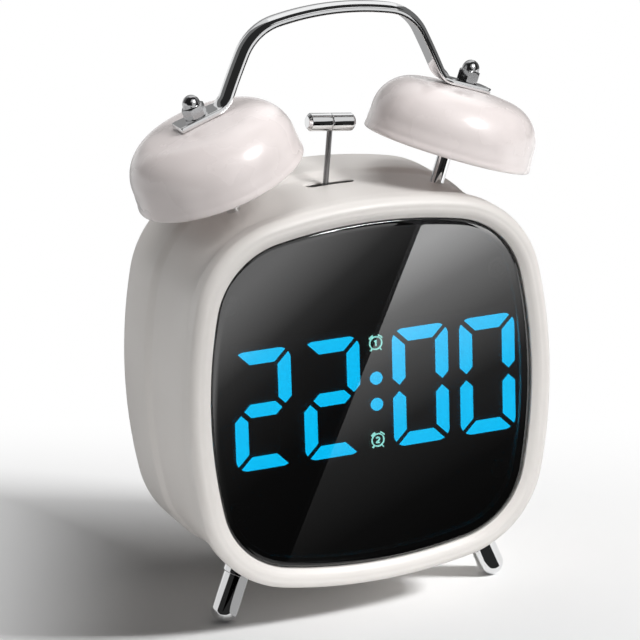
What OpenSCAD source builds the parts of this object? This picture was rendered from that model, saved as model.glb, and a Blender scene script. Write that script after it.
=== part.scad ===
// Twin-bell alarm clock with a digital face: a moulded case between two bells,
// a motor-driven hammer, a smoked lens over seven-segment digits, two chrome legs and a rear foot.
// Every piece is drawn in the frame of the face: x to the right, y up the face, z out towards the user,
// with the middle of the lens's front at zero. stand() leans that frame back and sets it on its feet.

/* [Stance] */
// Lean of the face back from the vertical, in degrees
lean = 4.2; // [0:0.1:10]

/* [Face] */
// Width of the lens opening
face_w = 92; // [86:1:104]
// Height of the lens opening
face_h = 94; // [88:1:104]
// Radius of the four bowed sides
side_r = 134.5; // [110:0.5:180]
// Radius of the four corners
corner_r = 22; // [18:0.5:27]
// Thickness of the lens
lens_t = 2; // [1.4:0.1:3]
// Width of the bevel round the lens
bevel_w = 1.6; // [0.6:0.1:2.4]
// Drop of the bevel round the lens
bevel_drop = 0.8; // [0.3:0.1:1.1]

/* [Case] */
// Distance from the lens opening out to the front and rear flanges
flange_out = 5.8; // [5.4:0.1:8]
// Distance from the lens opening out to the waist between the flanges
waist_out = 4.8; // [4.2:0.1:5.3]
// Depth from the lens's front to the back edge of the case
case_depth = 52.5; // [51:0.5:64]
// Wall of the case
wall = 2.2; // [1.6:0.1:2.6]
// Rise of the bezel's crest in front of the lens
crest_rise = 1.2; // [0.6:0.1:2]
// Depth of the seam between the bezel and the case
seam_depth = 7.2; // [6.6:0.1:8]
// Thickness of the rear cover
cover_t = 2.2; // [1.8:0.1:2.8]

/* [Bells] */
// Largest radius of a bell
bell_r = 23.1; // [20:0.1:24]
// Height of a bell from rim to crown
bell_h = 17.4; // [15:0.1:20]
// Thickness of a bell's wall
bell_t = 1.2; // [0.8:0.1:1.6]
// Tilt of a bell outwards, in degrees
bell_tilt = 19.6; // [14:0.1:24]
// Place of a bell's post on the case's corner, in degrees from upright
post_at = 16.3; // [12:0.1:22]
// Gap along the post from the case to a bell's rim
bell_gap = 9.3; // [7:0.1:11]
// Depth of the bells' posts behind the lens
bell_depth = 22.5; // [20:0.1:30]
// Radius of a bell's post
post_r = 1.9; // [1.7:0.1:2.4]

/* [Handle] */
// Width of the handle's bar
bar_w = 6.6; // [5:0.1:8]
// Thickness of the handle's bar
bar_t = 2.6; // [2:0.1:3.4]
// Steepest slope of the handle, where a bend meets its side, in degrees
side_slope = 68; // [62:0.5:74]
// Radius of the handle's upper corners, along its underside
grip_corner_r = 12.5; // [10.5:0.1:14.5]
// Length of a tab from its hole to the bend
tab_in = 5.4; // [5.2:0.1:6.4]
// Length of a tab from its hole to its outer end
tab_out = 6; // [4.5:0.1:8]
// Thickness of the flat tabs
tab_t = 1.5; // [1.2:0.1:2]

/* [Legs] */
// Length of a leg from the case to the middle of its rounded tip
leg_l = 13.3; // [10:0.1:20]
// Radius of a leg
leg_r = 3.2; // [2.6:0.1:4]
// Place of a leg on the case's corner, in degrees from straight down
leg_at = 28; // [20:0.5:36]
// Splay of the legs, in degrees
leg_splay = 22.5; // [14:0.5:28]
// Depth of the legs behind the lens
leg_depth = 14; // [13.5:0.1:18]
// Width of the rear foot
foot_w = 26; // [18:0.5:36]
// Depth of the rear foot
foot_d = 9; // [7.5:0.5:12]

/* [Hammer] */
// Length of the hammer's head
head_l = 14; // [12:0.1:15]
// Radius of the hammer's head
head_r = 2.4; // [2:0.1:2.8]
// Radius of the hammer's rod
rod_r = 0.75; // [0.6:0.05:0.9]
// Height of the hammer's head above the middle of the face
head_y = 68.3; // [66:0.1:72]
// Depth of the hammer behind the lens
hammer_depth = 25; // [24:0.1:27]
// Tilt of the hammer at rest, in degrees
hammer_tilt = 6.5; // [3:0.1:9]
// Height of the hammer's pivot above the middle of the face
pivot_y = 38; // [36:0.1:40]
// Swing of the hammer each way, in degrees
hammer_swing = 6; // [3:0.5:6]
// Distance from the pivot down to the crank
crank_drop = 12; // [11:0.1:13]

/* [Digits] */
// Height of a digit
digit_h = 33; // [26:0.5:36]
// Distance from the lens opening to the outer digits
digit_margin = 5.7; // [4.6:0.1:10]
// Space between the two digits of a pair
digit_space = 3.4; // [2:0.1:6]
// Space between the two pairs, for the colon
colon_space = 9.4; // [8:0.1:14]
// Width of a segment
segment_w = 3.7; // [2.6:0.1:4.2]
// Gap between segments
segment_gap = 0.9; // [0.4:0.05:1.2]
// Radius of a digit's outer corners
digit_r = 2; // [1.4:0.1:2.4]
// Shift of the digits to the right
digit_shift = 1.5; // [-1.6:0.05:1.6]
// Shift of the digits up
digit_rise = 0.1; // [-1:0.05:1]

/* [Back] */
// Radius of a button
button_r = 3.5; // [3:0.1:4.5]
// Distance between buttons
button_pitch = 12; // [11:0.1:13]
// Height of the row of buttons above the middle of the face
button_y = 8; // [6:0.5:9]
// Reach of a button out of the back
button_out = 1.6; // [1.4:0.1:2.4]
// Travel of a button
button_travel = 1.2; // [0.6:0.1:1.4]
// Height of the battery bay's middle, below the middle of the face
bay_down = 22; // [20:0.5:24]
// Thickness of the battery door
door_t = 1.6; // [1.4:0.1:1.8]

/* [Hidden] */
$fn = 96;

// Clearances: a seat that is assembled by hand, a running pin, and a slack hole round a screw
seat_gap = 0.2;
run_gap = 0.06;
screw_gap = 0.15;
touch_gap = 0.05;
// Overshoot of a cut past the face it opens
past = 1;

// The outline of the lens opening is eight tangent arcs: four bowed sides and four corners
half_w = face_w / 2;
half_h = face_h / 2;
bow_x = side_r - half_w;
bow_y = side_r - half_h;
bow_ratio = bow_x / bow_y;
bow_shift = (bow_x * bow_x - bow_y * bow_y) / (2 * bow_y);
quad_a = 1 + bow_ratio * bow_ratio;
quad_b = 2 * (bow_x + bow_ratio * bow_shift);
quad_c = bow_x * bow_x + bow_shift * bow_shift - pow(side_r - corner_r, 2);
near_x = (sqrt(quad_b * quad_b - 4 * quad_a * quad_c) - quad_b) / (2 * quad_a);
near_y = bow_ratio * near_x + bow_shift;
// The sweeps are rounded to a hundredth of a degree, and the radii of the bows then follow from them
side_a = round(100 * atan2(near_y, near_x + bow_x)) / 100;
top_a = round(100 * atan2(near_x, near_y + bow_y)) / 100;
turn_a = 90 - side_a - top_a;
across_c = half_w - corner_r * cos(side_a) + corner_r * sin(top_a);
up_c = half_h - corner_r * cos(top_a) + corner_r * sin(side_a);
bow_det = (1 - cos(side_a)) * (1 - cos(top_a)) - sin(side_a) * sin(top_a);
side_bow_r = (across_c * (1 - cos(top_a)) - up_c * sin(top_a)) / bow_det;
top_bow_r = (up_c * (1 - cos(side_a)) - across_c * sin(side_a)) / bow_det;
corner_x = (top_bow_r - corner_r) * sin(top_a);
corner_y = (side_bow_r - corner_r) * sin(side_a);
side_cx = half_w - side_bow_r;
top_cy = half_h - top_bow_r;
// Each arc: centre x, centre y, radius, start angle, sweep
arcs = [
  [side_cx, 0, side_bow_r, -side_a, 2 * side_a],
  [corner_x, corner_y, corner_r, side_a, turn_a],
  [0, top_cy, top_bow_r, 90 - top_a, 2 * top_a],
  [-corner_x, corner_y, corner_r, 90 + top_a, turn_a],
  [-side_cx, 0, side_bow_r, 180 - side_a, 2 * side_a],
  [-corner_x, -corner_y, corner_r, 180 + side_a, turn_a],
  [0, -top_cy, top_bow_r, 270 - top_a, 2 * top_a],
  [corner_x, -corner_y, corner_r, 270 + top_a, turn_a]
];
// A flat plate is an exact band round its edge and an eight-sided core that reaches into the band
band_in = corner_r / 2;
core_in = corner_r / 4;

// Depths of the layers behind the face
tape_t = 0.3;
ledge_depth = lens_t + tape_t;
ledge_t = 2.2;
ledge_in = 2.6;
carrier_depth = ledge_depth + ledge_t;
carrier_t = 2;
window_t = 1.5;
segment_t = 0.4;
led_t = 3.7;
board_t = 1.6;
carrier_back = carrier_depth + carrier_t;
board_depth = carrier_back + led_t;
cover_depth = case_depth - cover_t;
waist_in = waist_out - wall;

// Bezel section
crest_r = 3;
bezel_slope = 35;
flank_end = seam_depth - 2;
spigot_t = 1.45;

// Case section
waist_end = 30.5;
swell_end = 35;
rear_r = 3;
ledge_back = 2;
cover_out = 1.2;
lip_in = 1.5;

// Screw tunnels of the rear cover, which meet the bosses of the bezel through the carrier
tunnel_r = 4.6;
tunnel_a = 17.5;
tunnel_in = tunnel_r - 0.2;
tunnel_x = corner_x + (corner_r - tunnel_in) * cos(tunnel_a);
tunnel_y = corner_y + (corner_r - tunnel_in) * sin(tunnel_a);
boss_r = 3;
case_screw_r = 1.3;
case_head_r = 2.5;
tunnel_web = 5;

// Bells and posts, along the post's own axis: zero at the rim, up towards the crown
outline_r = corner_r + waist_out;
post_seat = [corner_x + outline_r * sin(post_at), corner_y + outline_r * cos(post_at)];
bell_dir = [sin(bell_tilt), cos(bell_tilt)];
bell_in = [-cos(bell_tilt), sin(bell_tilt)];
bell_at = post_seat + bell_gap * bell_dir;
cap_r = 90;
shoulder_r = 10.5;
shoulder_x = bell_r - shoulder_r;
shoulder_y = bell_h - cap_r + sqrt(pow(cap_r - shoulder_r, 2) - shoulder_x * shoulder_x);
shoulder_a = atan2(shoulder_y - bell_h + cap_r, shoulder_x);
neck_in = 0.7;
neck_h = 2.2;
lip_r = bell_r - 0.1;
lip_h = 0.5;
stud_r = 1.45;
stud_hole_r = stud_r + screw_gap;
stud_past = 1.2;
post_step = -bell_gap - 3.3;
post_boss_end = post_step - 3.5;
post_boss_r = 4.6;
nut_flats = 5.5;
nut_r = nut_flats / 2 / cos(30);
nut_h = 2.4;
acorn_h = 3;
acorn_dome_r = 2.1;
thread_r = stud_r + touch_gap;

// Handle, along its underside: tab, bend, nearly straight side, upper corner and slightly bowed grip.
// Angles are those of the outward direction, from the level
tab_at = bell_at + bell_h * bell_dir;
bend_r = 6.6;
bend_from = tab_at + tab_in * bell_in;
bend_mid = bend_from + bend_r * bell_dir;
long_side_r = 200;
side_from = 90 - side_slope;
side_to = side_from + 3.3;
side_out = [cos(side_from), sin(side_from)];
side_mid = bend_mid - (long_side_r + bend_r) * side_out;
grip_from = 78;
corner_out = [cos(side_to), sin(side_to)];
grip_corner = side_mid + (long_side_r - grip_corner_r) * corner_out;
grip_r = grip_corner_r + grip_corner[0] / cos(grip_from);
grip_y = grip_corner[1] - (grip_r - grip_corner_r) * sin(grip_from);
bar_side = 0.35 * bar_t;
bend_short = 12;
tab_w = bar_w + 0.6;
ramp_l = 2;
ramp_top = 0.8 * bar_t;
ramp_start = 1;
tab_lap = 2.1;

// Legs, along their own axis: zero where the axis leaves the case, down towards the table
leg_seat = [corner_x + outline_r * sin(leg_at), -corner_y - outline_r * cos(leg_at)];
leg_flat = 0.3;
leg_round = leg_r;
collar_r = leg_r + 0.5;
collar_h = 2.6;
collar_edge = 0.4;
leg_sink = 1;
// The legs set how high the middle of the face stands above the table
leg_tip = [leg_seat[0] + leg_l * sin(leg_splay), leg_seat[1] - leg_l * cos(leg_splay)];
face_height = leg_round - leg_flat - leg_tip[1] * cos(lean) + leg_depth * sin(lean);
leg_boss_r = 4.8;
leg_boss_l = 6;
// The bezel's spigot reaches back to just short of the legs' bosses
spigot_depth = leg_depth - leg_boss_r - seat_gap;

// Rear foot
foot_depth = 42.5;
foot_peg_r = 2.5;
foot_peg_l = 4;
foot_corner = 3;
foot_drop = 14;

// Hammer: the pivot stands to the left of the middle, so that the tilted head is centred between the bells
pivot_x = -(head_y - pivot_y) * tan(hammer_tilt);
head_up = (head_y - pivot_y) / cos(hammer_tilt);
head_bevel = 0.8;
lever_t = 3;
hub_r = 2.8;
pivot_r = 1;
socket_l = 8;
rod_start = 3.4;
crank_y = pivot_y - crank_drop;
crank_e = crank_drop * tan(hammer_swing);
crank_pin_r = 0.75;
// The fork's slot takes up the difference between a steady swing and the pin's circle
fork_gap = 0.22 * crank_e + 0.12;
fork_half = crank_pin_r + fork_gap;
fork_wall = 1.3;
fork_end = 1.2;
lever_front = hammer_depth - lever_t / 2;
lever_back = hammer_depth + lever_t / 2;
pivot_play = 0.3;
pivot_head_r = pivot_r + 0.9;
pivot_head_t = 0.8;
disc_gap = 0.5;
disc_t = 1.5;
disc_r = 3.6;
disc_depth = lever_back + disc_gap;
bracket_depth = disc_depth + disc_t + disc_gap;
bracket_t = 1.5;
bracket_back = bracket_depth + bracket_t;
bracket_half = 13;
bracket_w = 9;
motor_r = 8;
motor_lug_l = 3;
motor_gap = 0.8;
motor_l = cover_depth - bracket_back - motor_lug_l - motor_gap;
motor_boss_r = 2.8;
motor_edge = 0.6;
motor_tail_r = 2.2;
motor_tail_l = 1.2;
motor_lug_x = 4.5;
motor_lug_w = 2;
motor_lug_t = 0.5;
shaft_r = 1;
shaft_in = 4;
standoff_r = 3;
bracket_screw_r = 1.2;
bracket_head_r = 2.3;
bracket_head_h = 1.5;
bracket_bite = 7;
slot_l = 12.8;
slot_w = 3.6;
slot_flare = 1.3;
slot_flare_d = 1.5;
slot_x = pivot_x + (half_h + waist_out - pivot_y) * tan(hammer_tilt) + 1.2;

// Digits: which segments are lit, in the order top, upper right, lower right, bottom, lower left,
// upper left, middle
TWO = [1, 1, 0, 1, 1, 0, 1];
ZERO = [1, 1, 1, 1, 1, 1, 0];
shown = [TWO, TWO, ZERO, ZERO];
digit_w = (face_w - 2 * digit_margin - 2 * digit_space - colon_space) / 4;
digit_pitch = digit_w + digit_space;
pair_pitch = 2 * digit_w + digit_space + colon_space;
first_x = digit_shift - pair_pitch / 2 - digit_pitch / 2;
digit_x = [first_x, first_x + digit_pitch, first_x + pair_pitch, first_x + pair_pitch + digit_pitch];
colon_r = 1.7;
colon_gap = 3.65;
icon_r = 1.9;
icon_line = 0.35;
icon_gap = 13.4;
icon_cap_r = icon_r + 0.55;
icon_cap_from = 32;
icon_cap_to = 68;
icon_foot_a = 52;
icon_foot_l = 0.8;
// Outlines of the numbers in the two signs
ONE_SIGN = [[-0.15, -0.8], [0.25, -0.8], [0.25, 0.8], [-0.1, 0.8], [-0.45, 0.5], [-0.45, 0.1], [-0.15, 0.3]];
TWO_SIGN = [
  [-0.55, -0.8], [0.55, -0.8], [0.55, -0.45], [-0.1, -0.45], [0.5, 0.15], [0.55, 0.5], [0.3, 0.8],
  [-0.3, 0.8], [-0.55, 0.5], [-0.55, 0.3], [-0.2, 0.3], [-0.15, 0.45], [0.15, 0.45],
  [0.15, 0.25], [-0.55, -0.45]
];
mitre_gap = segment_gap / sqrt(2);
mitre_a = asin(segment_gap / 2 / digit_r);
// The window and the lamp box behind it, measured from the block of digits
window_lap = 0.8;
window_rise = 1.5;
lamp_in = 1;
lamp_rise = 2;
window_w = face_w - 2 * digit_margin + 2 * window_lap;
window_h = digit_h + 2 * window_rise;
segment_depth = carrier_depth - window_t - segment_t;

// Main board
board_w = 66;
board_h = 56;
board_post_x = board_w / 2 - 4;
board_post_y = board_h / 2 - 3.2;
chip_w = 10;
chip_t = 1.6;
memory_w = 6;
crystal_w = 8;
crystal_h = 3.8;
capacitor_r = 3.1;
capacitor_l = 7;
capacitor_pitch = 8;
small_screw_r = 1;
small_head_r = 1.9;
small_head_h = 1.2;
small_hole_r = small_screw_r + screw_gap;
board_post_r = small_head_r + 0.6;

// Battery bay: three cells side by side behind the door
cell_r = 5.25;
cell_l = 44.5;
cell_count = 3;
cell_pitch = 11;
spring_l = 3.8;
plate_t = 0.5;
cell_slack = 0.3;
bay_wall = 1.5;
bay_in_w = cell_l + spring_l + 2 * plate_t + cell_slack;
bay_in_h = cell_count * cell_pitch + 1;
bay_floor = cover_depth - 12.6;
bay_y = -bay_down;
cell_y = [for (i = [0:cell_count - 1]) bay_y + (i - (cell_count - 1) / 2) * cell_pitch];
cell_depth = bay_floor + cell_r + cell_slack;
door_lap = 2;
door_w = bay_in_w + 2 * door_lap;
door_h = bay_in_h + 2 * door_lap;
door_top = bay_y + door_h / 2;
door_sink = 0.2;
door_depth = case_depth - door_sink - door_t;
hinge_r = door_t / 2;
hinge_y = bay_y - door_h / 2 + hinge_r;
hinge_depth = door_depth + hinge_r;
hinge_pin_r = 0.65;
hinge_pin_l = 1.5;

// Buttons and their switches
button_gap = 0.2;
button_flange = 0.9;
button_flange_t = 1;
switch_w = 6;
switch_h = 3.6;
switch_bore = 2.6;
stem_r = 1.1;
stem_in = 0.4;
switch_top = cover_depth - touch_gap - button_flange_t - button_travel - 0.6;
key_board_back = switch_top - switch_h;
key_board_front = key_board_back - board_t;
key_board_h = 10;
key_post_x = 2 * button_pitch + 9;
key_post_r = 2.4;

// Power socket
socket_x = 26;
socket_y = 24;
socket_w = 9;
socket_h = 3.6;
socket_d = 7.4;
socket_wall = 0.45;

// Footprint: the origin lies under the middle of the clock, between its front and its back
front_reach = (half_h + flange_out - crest_r) * sin(lean) + crest_rise * cos(lean);
rear_reach = (half_h + flange_out - rear_r) * sin(lean) + case_depth * cos(lean);
stand_y = (front_reach - rear_reach) / 2;
below = 40;

// Points of an arc about [x, y]
function arc_points(x, y, r, from, to, steps) =
  [for (i = [0:steps])
    let (a = from + (to - from) * i / steps)
    [x + r * cos(a), y + r * sin(a)]];

// Points of a smooth step from one place to another
function step_points(from, to, steps) =
  [for (i = [0:steps]) [
    from[0] + (to[0] - from[0]) * (1 - cos(180 * i / steps)) / 2,
    from[1] + (to[1] - from[1]) * i / steps
  ]];

// Moves by a coarse, a fine and a last step, so that a long decimal keeps all its places
function coarse(v, places) = [for (c = v) round(c * places) / places];
module shift(v) {
  near = coarse(v, 10);
  fine = coarse(v - near, 100000);
  translate(near) translate(fine) translate(v - near - fine) children();
}

module stand() translate([0, stand_y, face_height]) rotate([90 - lean, 0, 0]) children();

// Carries a section round the face: x is the distance outside the lens opening, y the distance forward
module carry() {
  for (a = arcs)
    shift([a[0], a[1], 0])
      rotate_extrude(angle = a[4], start = a[3])
        shift([a[2], 0]) children();
}

// A plate with the face's outline, its edge at a distance outside the lens opening
module face_plate(out, depth, thick) {
  carry() translate([-band_in, -depth - thick]) square([band_in + out, thick]);
  translate([0, 0, -depth - thick]) linear_extrude(thick) core_shape();
}

module core_shape() {
  polygon([for (a = arcs) [a[0] + (a[2] - core_in) * cos(a[3]), a[1] + (a[2] - core_in) * sin(a[3])]]);
}

// A round bar along the depth, between two depths
module bar(x, y, r, from, to) translate([x, y, -to]) cylinder(r = r, h = to - from);

// A block centred on [x, y], between two depths
module block(x, y, w, h, from, to) translate([x - w / 2, y - h / 2, -to]) cube([w, h, to - from]);

module four(x, y) for (sx = [-1, 1], sy = [-1, 1]) translate([sx * x, sy * y, 0]) children();

module pair(x) for (s = [-1, 1]) translate([s * x, 0, 0]) children();

// The frame of a bell's post: z up the post, from the middle of the bell's rim
module on_post(side) {
  translate([side * bell_at[0], bell_at[1], -bell_depth])
    rotate([0, 0, -side * bell_tilt]) rotate([-90, 0, 0]) children();
}

// The frame of a leg: z down the leg, from the case's surface
module on_leg(side) {
  translate([side * leg_seat[0], leg_seat[1], -leg_depth])
    rotate([0, 0, side * leg_splay]) rotate([90, 0, 0]) children();
}

module hex_nut(h, bore_r) {
  difference() {
    cylinder(r = nut_r, h = h, $fn = 6);
    translate([0, 0, -past]) cylinder(r = bore_r, h = h + 2 * past);
  }
}

// A pan-headed screw along the depth, its head's underside at depth zero, pointing forward or back
module screw(head_r, head_h, shank_r, shank_l, forward) {
  mirror([0, 0, forward ? 0 : 1]) {
    translate([0, 0, -head_h]) cylinder(r = head_r, h = head_h);
    cylinder(r = shank_r, h = shank_l);
  }
}

// Front bezel: a rolled rim round the lens, a ledge behind it, a spigot into the case and four bosses
module bezel_section() {
  slope_from = arc_points(flange_out - crest_r, crest_rise - crest_r, crest_r, 90 + bezel_slope, 0, 14);
  lip_z = slope_from[0][1] - slope_from[0][0] * tan(bezel_slope);
  polygon(concat(
    [[-ledge_in, -ledge_depth], [0, -ledge_depth], [0, lip_z]],
    slope_from,
    step_points([flange_out, -flank_end], [waist_out, -seam_depth], 6),
    [
      [waist_in - seat_gap, -seam_depth],
      [waist_in - seat_gap, -spigot_depth],
      [waist_in - seat_gap - spigot_t, -spigot_depth],
      [waist_in - seat_gap - spigot_t, -carrier_depth],
      [-ledge_in, -carrier_depth]
    ]
  ));
}

module front_bezel() {
  color("linen") stand() difference() {
    union() {
      carry() bezel_section();
      four(tunnel_x, tunnel_y) bar(0, 0, boss_r, ledge_depth, carrier_back - touch_gap);
    }
    four(tunnel_x, tunnel_y) bar(0, 0, case_screw_r, ledge_depth + 0.8, carrier_back + past);
  }
}

module lens() {
  color([0.08, 0.08, 0.09]) stand() {
    edge = -seat_gap;
    carry() polygon([
      [-band_in, 0], [edge - bevel_w, 0], [edge, -bevel_drop], [edge, -lens_t], [-band_in, -lens_t]
    ]);
    translate([0, 0, -lens_t]) linear_extrude(lens_t) core_shape();
  }
}

module lens_tape() {
  color("black") stand() carry() {
    translate([-ledge_in + seat_gap, -ledge_depth]) square([ledge_in - 3 * seat_gap, tape_t]);
  }
}

// Display carrier: a dark plate behind the whole lens, with the digits' window and the lamp box
module display_carrier() {
  color([0.05, 0.05, 0.05]) stand() difference() {
    union() {
      face_plate(waist_in - 2 * seat_gap - spigot_t, carrier_depth, carrier_t);
      block(digit_shift, digit_rise, window_w, window_h, carrier_depth - window_t, carrier_depth + past);
      block(digit_shift, digit_rise, window_w - 2 * lamp_in, window_h + 2 * lamp_rise,
        carrier_back - past, board_depth);
      four(board_post_x, board_post_y) bar(0, 0, board_post_r, carrier_back - past, board_depth);
    }
    four(tunnel_x, tunnel_y) bar(0, 0, boss_r + seat_gap, carrier_depth - past, carrier_back + past);
    four(board_post_x, board_post_y)
      bar(0, 0, small_screw_r + touch_gap, carrier_back, board_depth + past);
  }
}

// The right end of a digit's top bar: round its corner, then down the mitre
function bar_end() = concat(
  arc_points(digit_w / 2 - digit_r, digit_h / 2 - digit_r, digit_r, 90, 45 + mitre_a, 5),
  [[digit_w / 2 - segment_w - mitre_gap, digit_h / 2 - segment_w]]
);

module end_bar() {
  right = bar_end();
  left = [for (i = [len(right) - 1:-1:0]) [-right[i][0], right[i][1]]];
  polygon(concat(right, left));
}

module middle_bar() {
  tip = digit_w / 2 - segment_w / 2 - mitre_gap;
  thick = segment_w / 2;
  polygon([
    [-tip, 0], [thick - tip, thick], [tip - thick, thick],
    [tip, 0], [tip - thick, -thick], [thick - tip, -thick]
  ]);
}

// The upper bar of a digit's right side: round the corner, a mitre above and a point below
module side_bar() {
  inner = digit_w / 2 - segment_w;
  polygon(concat(
    arc_points(digit_w / 2 - digit_r, digit_h / 2 - digit_r, digit_r, 0, 45 - mitre_a, 5),
    [
      [inner, digit_h / 2 - segment_w - mitre_gap],
      [inner, segment_w / 2 + mitre_gap],
      [inner + segment_w / 2, mitre_gap],
      [digit_w / 2, segment_w / 2 + mitre_gap]
    ]
  ));
}

// The seven segments of a digit, kept or left out by a list
module digit(keep) {
  if (keep[0]) end_bar();
  if (keep[1]) side_bar();
  if (keep[2]) mirror([0, 1]) side_bar();
  if (keep[3]) mirror([0, 1]) end_bar();
  if (keep[4]) rotate(180) side_bar();
  if (keep[5]) mirror([1, 0]) side_bar();
  if (keep[6]) middle_bar();
}

// A small alarm sign: a ring with two bell caps, two feet and a number inside
module alarm_sign(number) {
  difference() {
    circle(r = icon_r, $fn = 48);
    circle(r = icon_r - icon_line, $fn = 48);
  }
  for (s = [0, 1]) mirror([s, 0]) {
    polygon(concat(
      arc_points(0, 0, icon_cap_r, icon_cap_from, icon_cap_to, 5),
      arc_points(0, 0, icon_cap_r - icon_line, icon_cap_to, icon_cap_from, 5)
    ));
    rotate(-icon_foot_a) translate([icon_r - icon_line / 2, -icon_line / 2])
      square([icon_foot_l, icon_line]);
  }
  polygon(number == 1 ? ONE_SIGN : TWO_SIGN);
}

module display_layer() {
  translate([0, 0, -segment_depth - segment_t]) linear_extrude(segment_t) children();
}

module lit_segments() {
  color("deepskyblue") stand() display_layer() {
    for (i = [0:3]) translate([digit_x[i], digit_rise]) digit(shown[i]);
    for (s = [-1, 1]) translate([digit_shift, digit_rise]) {
      translate([0, s * colon_gap]) circle(r = colon_r, $fn = 48);
      translate([0, s * icon_gap]) alarm_sign(s > 0 ? 1 : 2);
    }
  }
}

module unlit_segments() {
  color([0.12, 0.14, 0.16]) stand() display_layer()
    for (i = [0:3]) translate([digit_x[i], digit_rise]) digit([for (k = shown[i]) 1 - k]);
}

module main_board() {
  color("darkgreen") stand() difference() {
    block(0, 0, board_w, board_h, board_depth, board_depth + board_t);
    four(board_post_x, board_post_y)
      bar(0, 0, small_hole_r, board_depth - past, board_depth + board_t + past);
  }
}

module board_chips() {
  top = board_depth + board_t;
  color([0.15, 0.15, 0.16]) stand() {
    block(-chip_w, chip_w / 2, chip_w, chip_w, top, top + chip_t);
    block(chip_w, -chip_w, memory_w, chip_w, top, top + chip_t);
    block(-2 * chip_w, -chip_w, crystal_w, crystal_h, top, top + 2 * chip_t);
    for (i = [0, 1]) bar(1.4 * chip_w + i * capacitor_pitch, chip_w, capacitor_r, top, top + capacitor_l);
  }
}

// Small screws of one kind: four hold the main board, two the button board
module board_screws() {
  color("silver") stand() {
    four(board_post_x, board_post_y) translate([0, 0, -board_depth - board_t])
      screw(small_head_r, small_head_h, small_screw_r, board_t + led_t - 0.6, true);
    pair(key_post_x) translate([0, button_y, -key_board_front])
      screw(small_head_r, small_head_h, small_screw_r, board_t + 4, false);
  }
}

// Case shell: the waist and the rear flange, with seats for posts, legs and foot and the hammer's slot
module case_section() {
  polygon(concat(
    [[waist_in, -seam_depth], [waist_out, -seam_depth]],
    step_points([waist_out, -waist_end], [flange_out, -swell_end], 8),
    arc_points(flange_out - rear_r, rear_r - case_depth, rear_r, 0, -90, 8),
    [
      [cover_out, -case_depth],
      [cover_out, -cover_depth],
      [-lip_in, -cover_depth],
      [-lip_in, ledge_back - cover_depth],
      [waist_in, ledge_back - cover_depth]
    ]
  ));
}

module slot_prism(l, w, top_w, y, h) {
  for (s = [-1, 1])
    translate([slot_x + s * (l - w) / 2, y, -hammer_depth]) rotate([-90, 0, 0])
      cylinder(r1 = w / 2, r2 = top_w / 2, h = h);
  translate([slot_x - (l - w) / 2, 0, -hammer_depth])
    rotate([90, 0, 90]) linear_extrude(l - w)
      polygon([[y, -w / 2], [y, w / 2], [y + h, top_w / 2], [y + h, -top_w / 2]]);
}

module hammer_slot() {
  crown = half_h + waist_out;
  slot_prism(slot_l, slot_w, slot_w, crown - wall - past, wall + 2 * past);
  slot_prism(slot_l, slot_w, slot_w + 2 * slot_flare, crown - slot_flare_d, slot_flare_d + 0.4);
}

module case_shell() {
  color("linen") stand() difference() {
    union() {
      carry() case_section();
      for (side = [-1, 1]) {
        on_post(side) translate([0, 0, post_boss_end])
          cylinder(r = post_boss_r, h = -bell_gap - wall / 2 - post_boss_end);
        on_leg(side) translate([0, 0, -leg_boss_l])
          cylinder(r = leg_boss_r, h = leg_boss_l - wall / 2 - 0.3);
      }
    }
    for (side = [-1, 1]) {
      on_post(side) translate([0, 0, post_step]) cylinder(r = post_r + seat_gap, h = -post_step);
      on_post(side) translate([0, 0, post_boss_end - past]) cylinder(r = stud_hole_r, h = bell_h);
      on_leg(side) translate([0, 0, -leg_sink]) cylinder(r = collar_r + seat_gap, h = collar_h + leg_sink);
      on_leg(side) translate([0, 0, -leg_boss_l - past])
        cylinder(r = stud_hole_r, h = leg_boss_l + 2 * past);
    }
    hammer_slot();
    four(tunnel_x, tunnel_y)
      bar(0, 0, tunnel_r + seat_gap, cover_depth - ledge_back - past, cover_depth + past);
    translate([0, -half_h - flange_out - past, -foot_depth]) rotate([-90, 0, 0])
      cylinder(r = foot_peg_r + touch_gap, h = foot_peg_l + 3 * past);
  }
}

// Rear cover: a flat plate with screw tunnels, the battery bay, standoffs and openings for the buttons
module rear_cover() {
  color("linen") stand() difference() {
    union() {
      face_plate(cover_out - seat_gap, cover_depth, cover_t);
      four(tunnel_x, tunnel_y) bar(0, 0, tunnel_r, carrier_back + touch_gap, cover_depth + past);
      block(0, bay_y, bay_in_w + 2 * bay_wall, bay_in_h + 2 * bay_wall,
        bay_floor - bay_wall, cover_depth + past);
      pair(bracket_half) bar(pivot_x, crank_y, standoff_r, bracket_back, cover_depth + past);
      pair(key_post_x) bar(0, button_y, key_post_r, key_board_back, cover_depth + past);
    }
    four(tunnel_x, tunnel_y) {
      bar(0, 0, case_screw_r + screw_gap, carrier_back - past, case_depth);
      bar(0, 0, case_head_r + seat_gap, carrier_back + tunnel_web, case_depth + past);
    }
    block(0, bay_y, bay_in_w, bay_in_h, bay_floor, case_depth + past);
    block(0, bay_y, door_w + 2 * seat_gap, door_h + 2 * seat_gap,
      door_depth - touch_gap, case_depth + past);
    for (s = [-1, 1])
      translate([s * (door_w / 2 + seat_gap / 2), hinge_y, -hinge_depth]) rotate([0, s * 90, 0])
        cylinder(r = hinge_pin_r + run_gap, h = hinge_pin_l + 2 * seat_gap);
    for (i = [-2:2])
      bar(i * button_pitch, button_y, button_r + button_gap, cover_depth - past, case_depth + past);
    pair(bracket_half) bar(pivot_x, crank_y, bracket_screw_r + touch_gap,
      bracket_back - past, bracket_back + bracket_bite + past);
    pair(key_post_x) bar(0, button_y, small_screw_r + touch_gap, key_board_back - past, key_board_back + 5);
    block(socket_x, socket_y, socket_w + 2 * seat_gap, socket_h + 2 * seat_gap,
      cover_depth - past, case_depth + past);
  }
}

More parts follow.
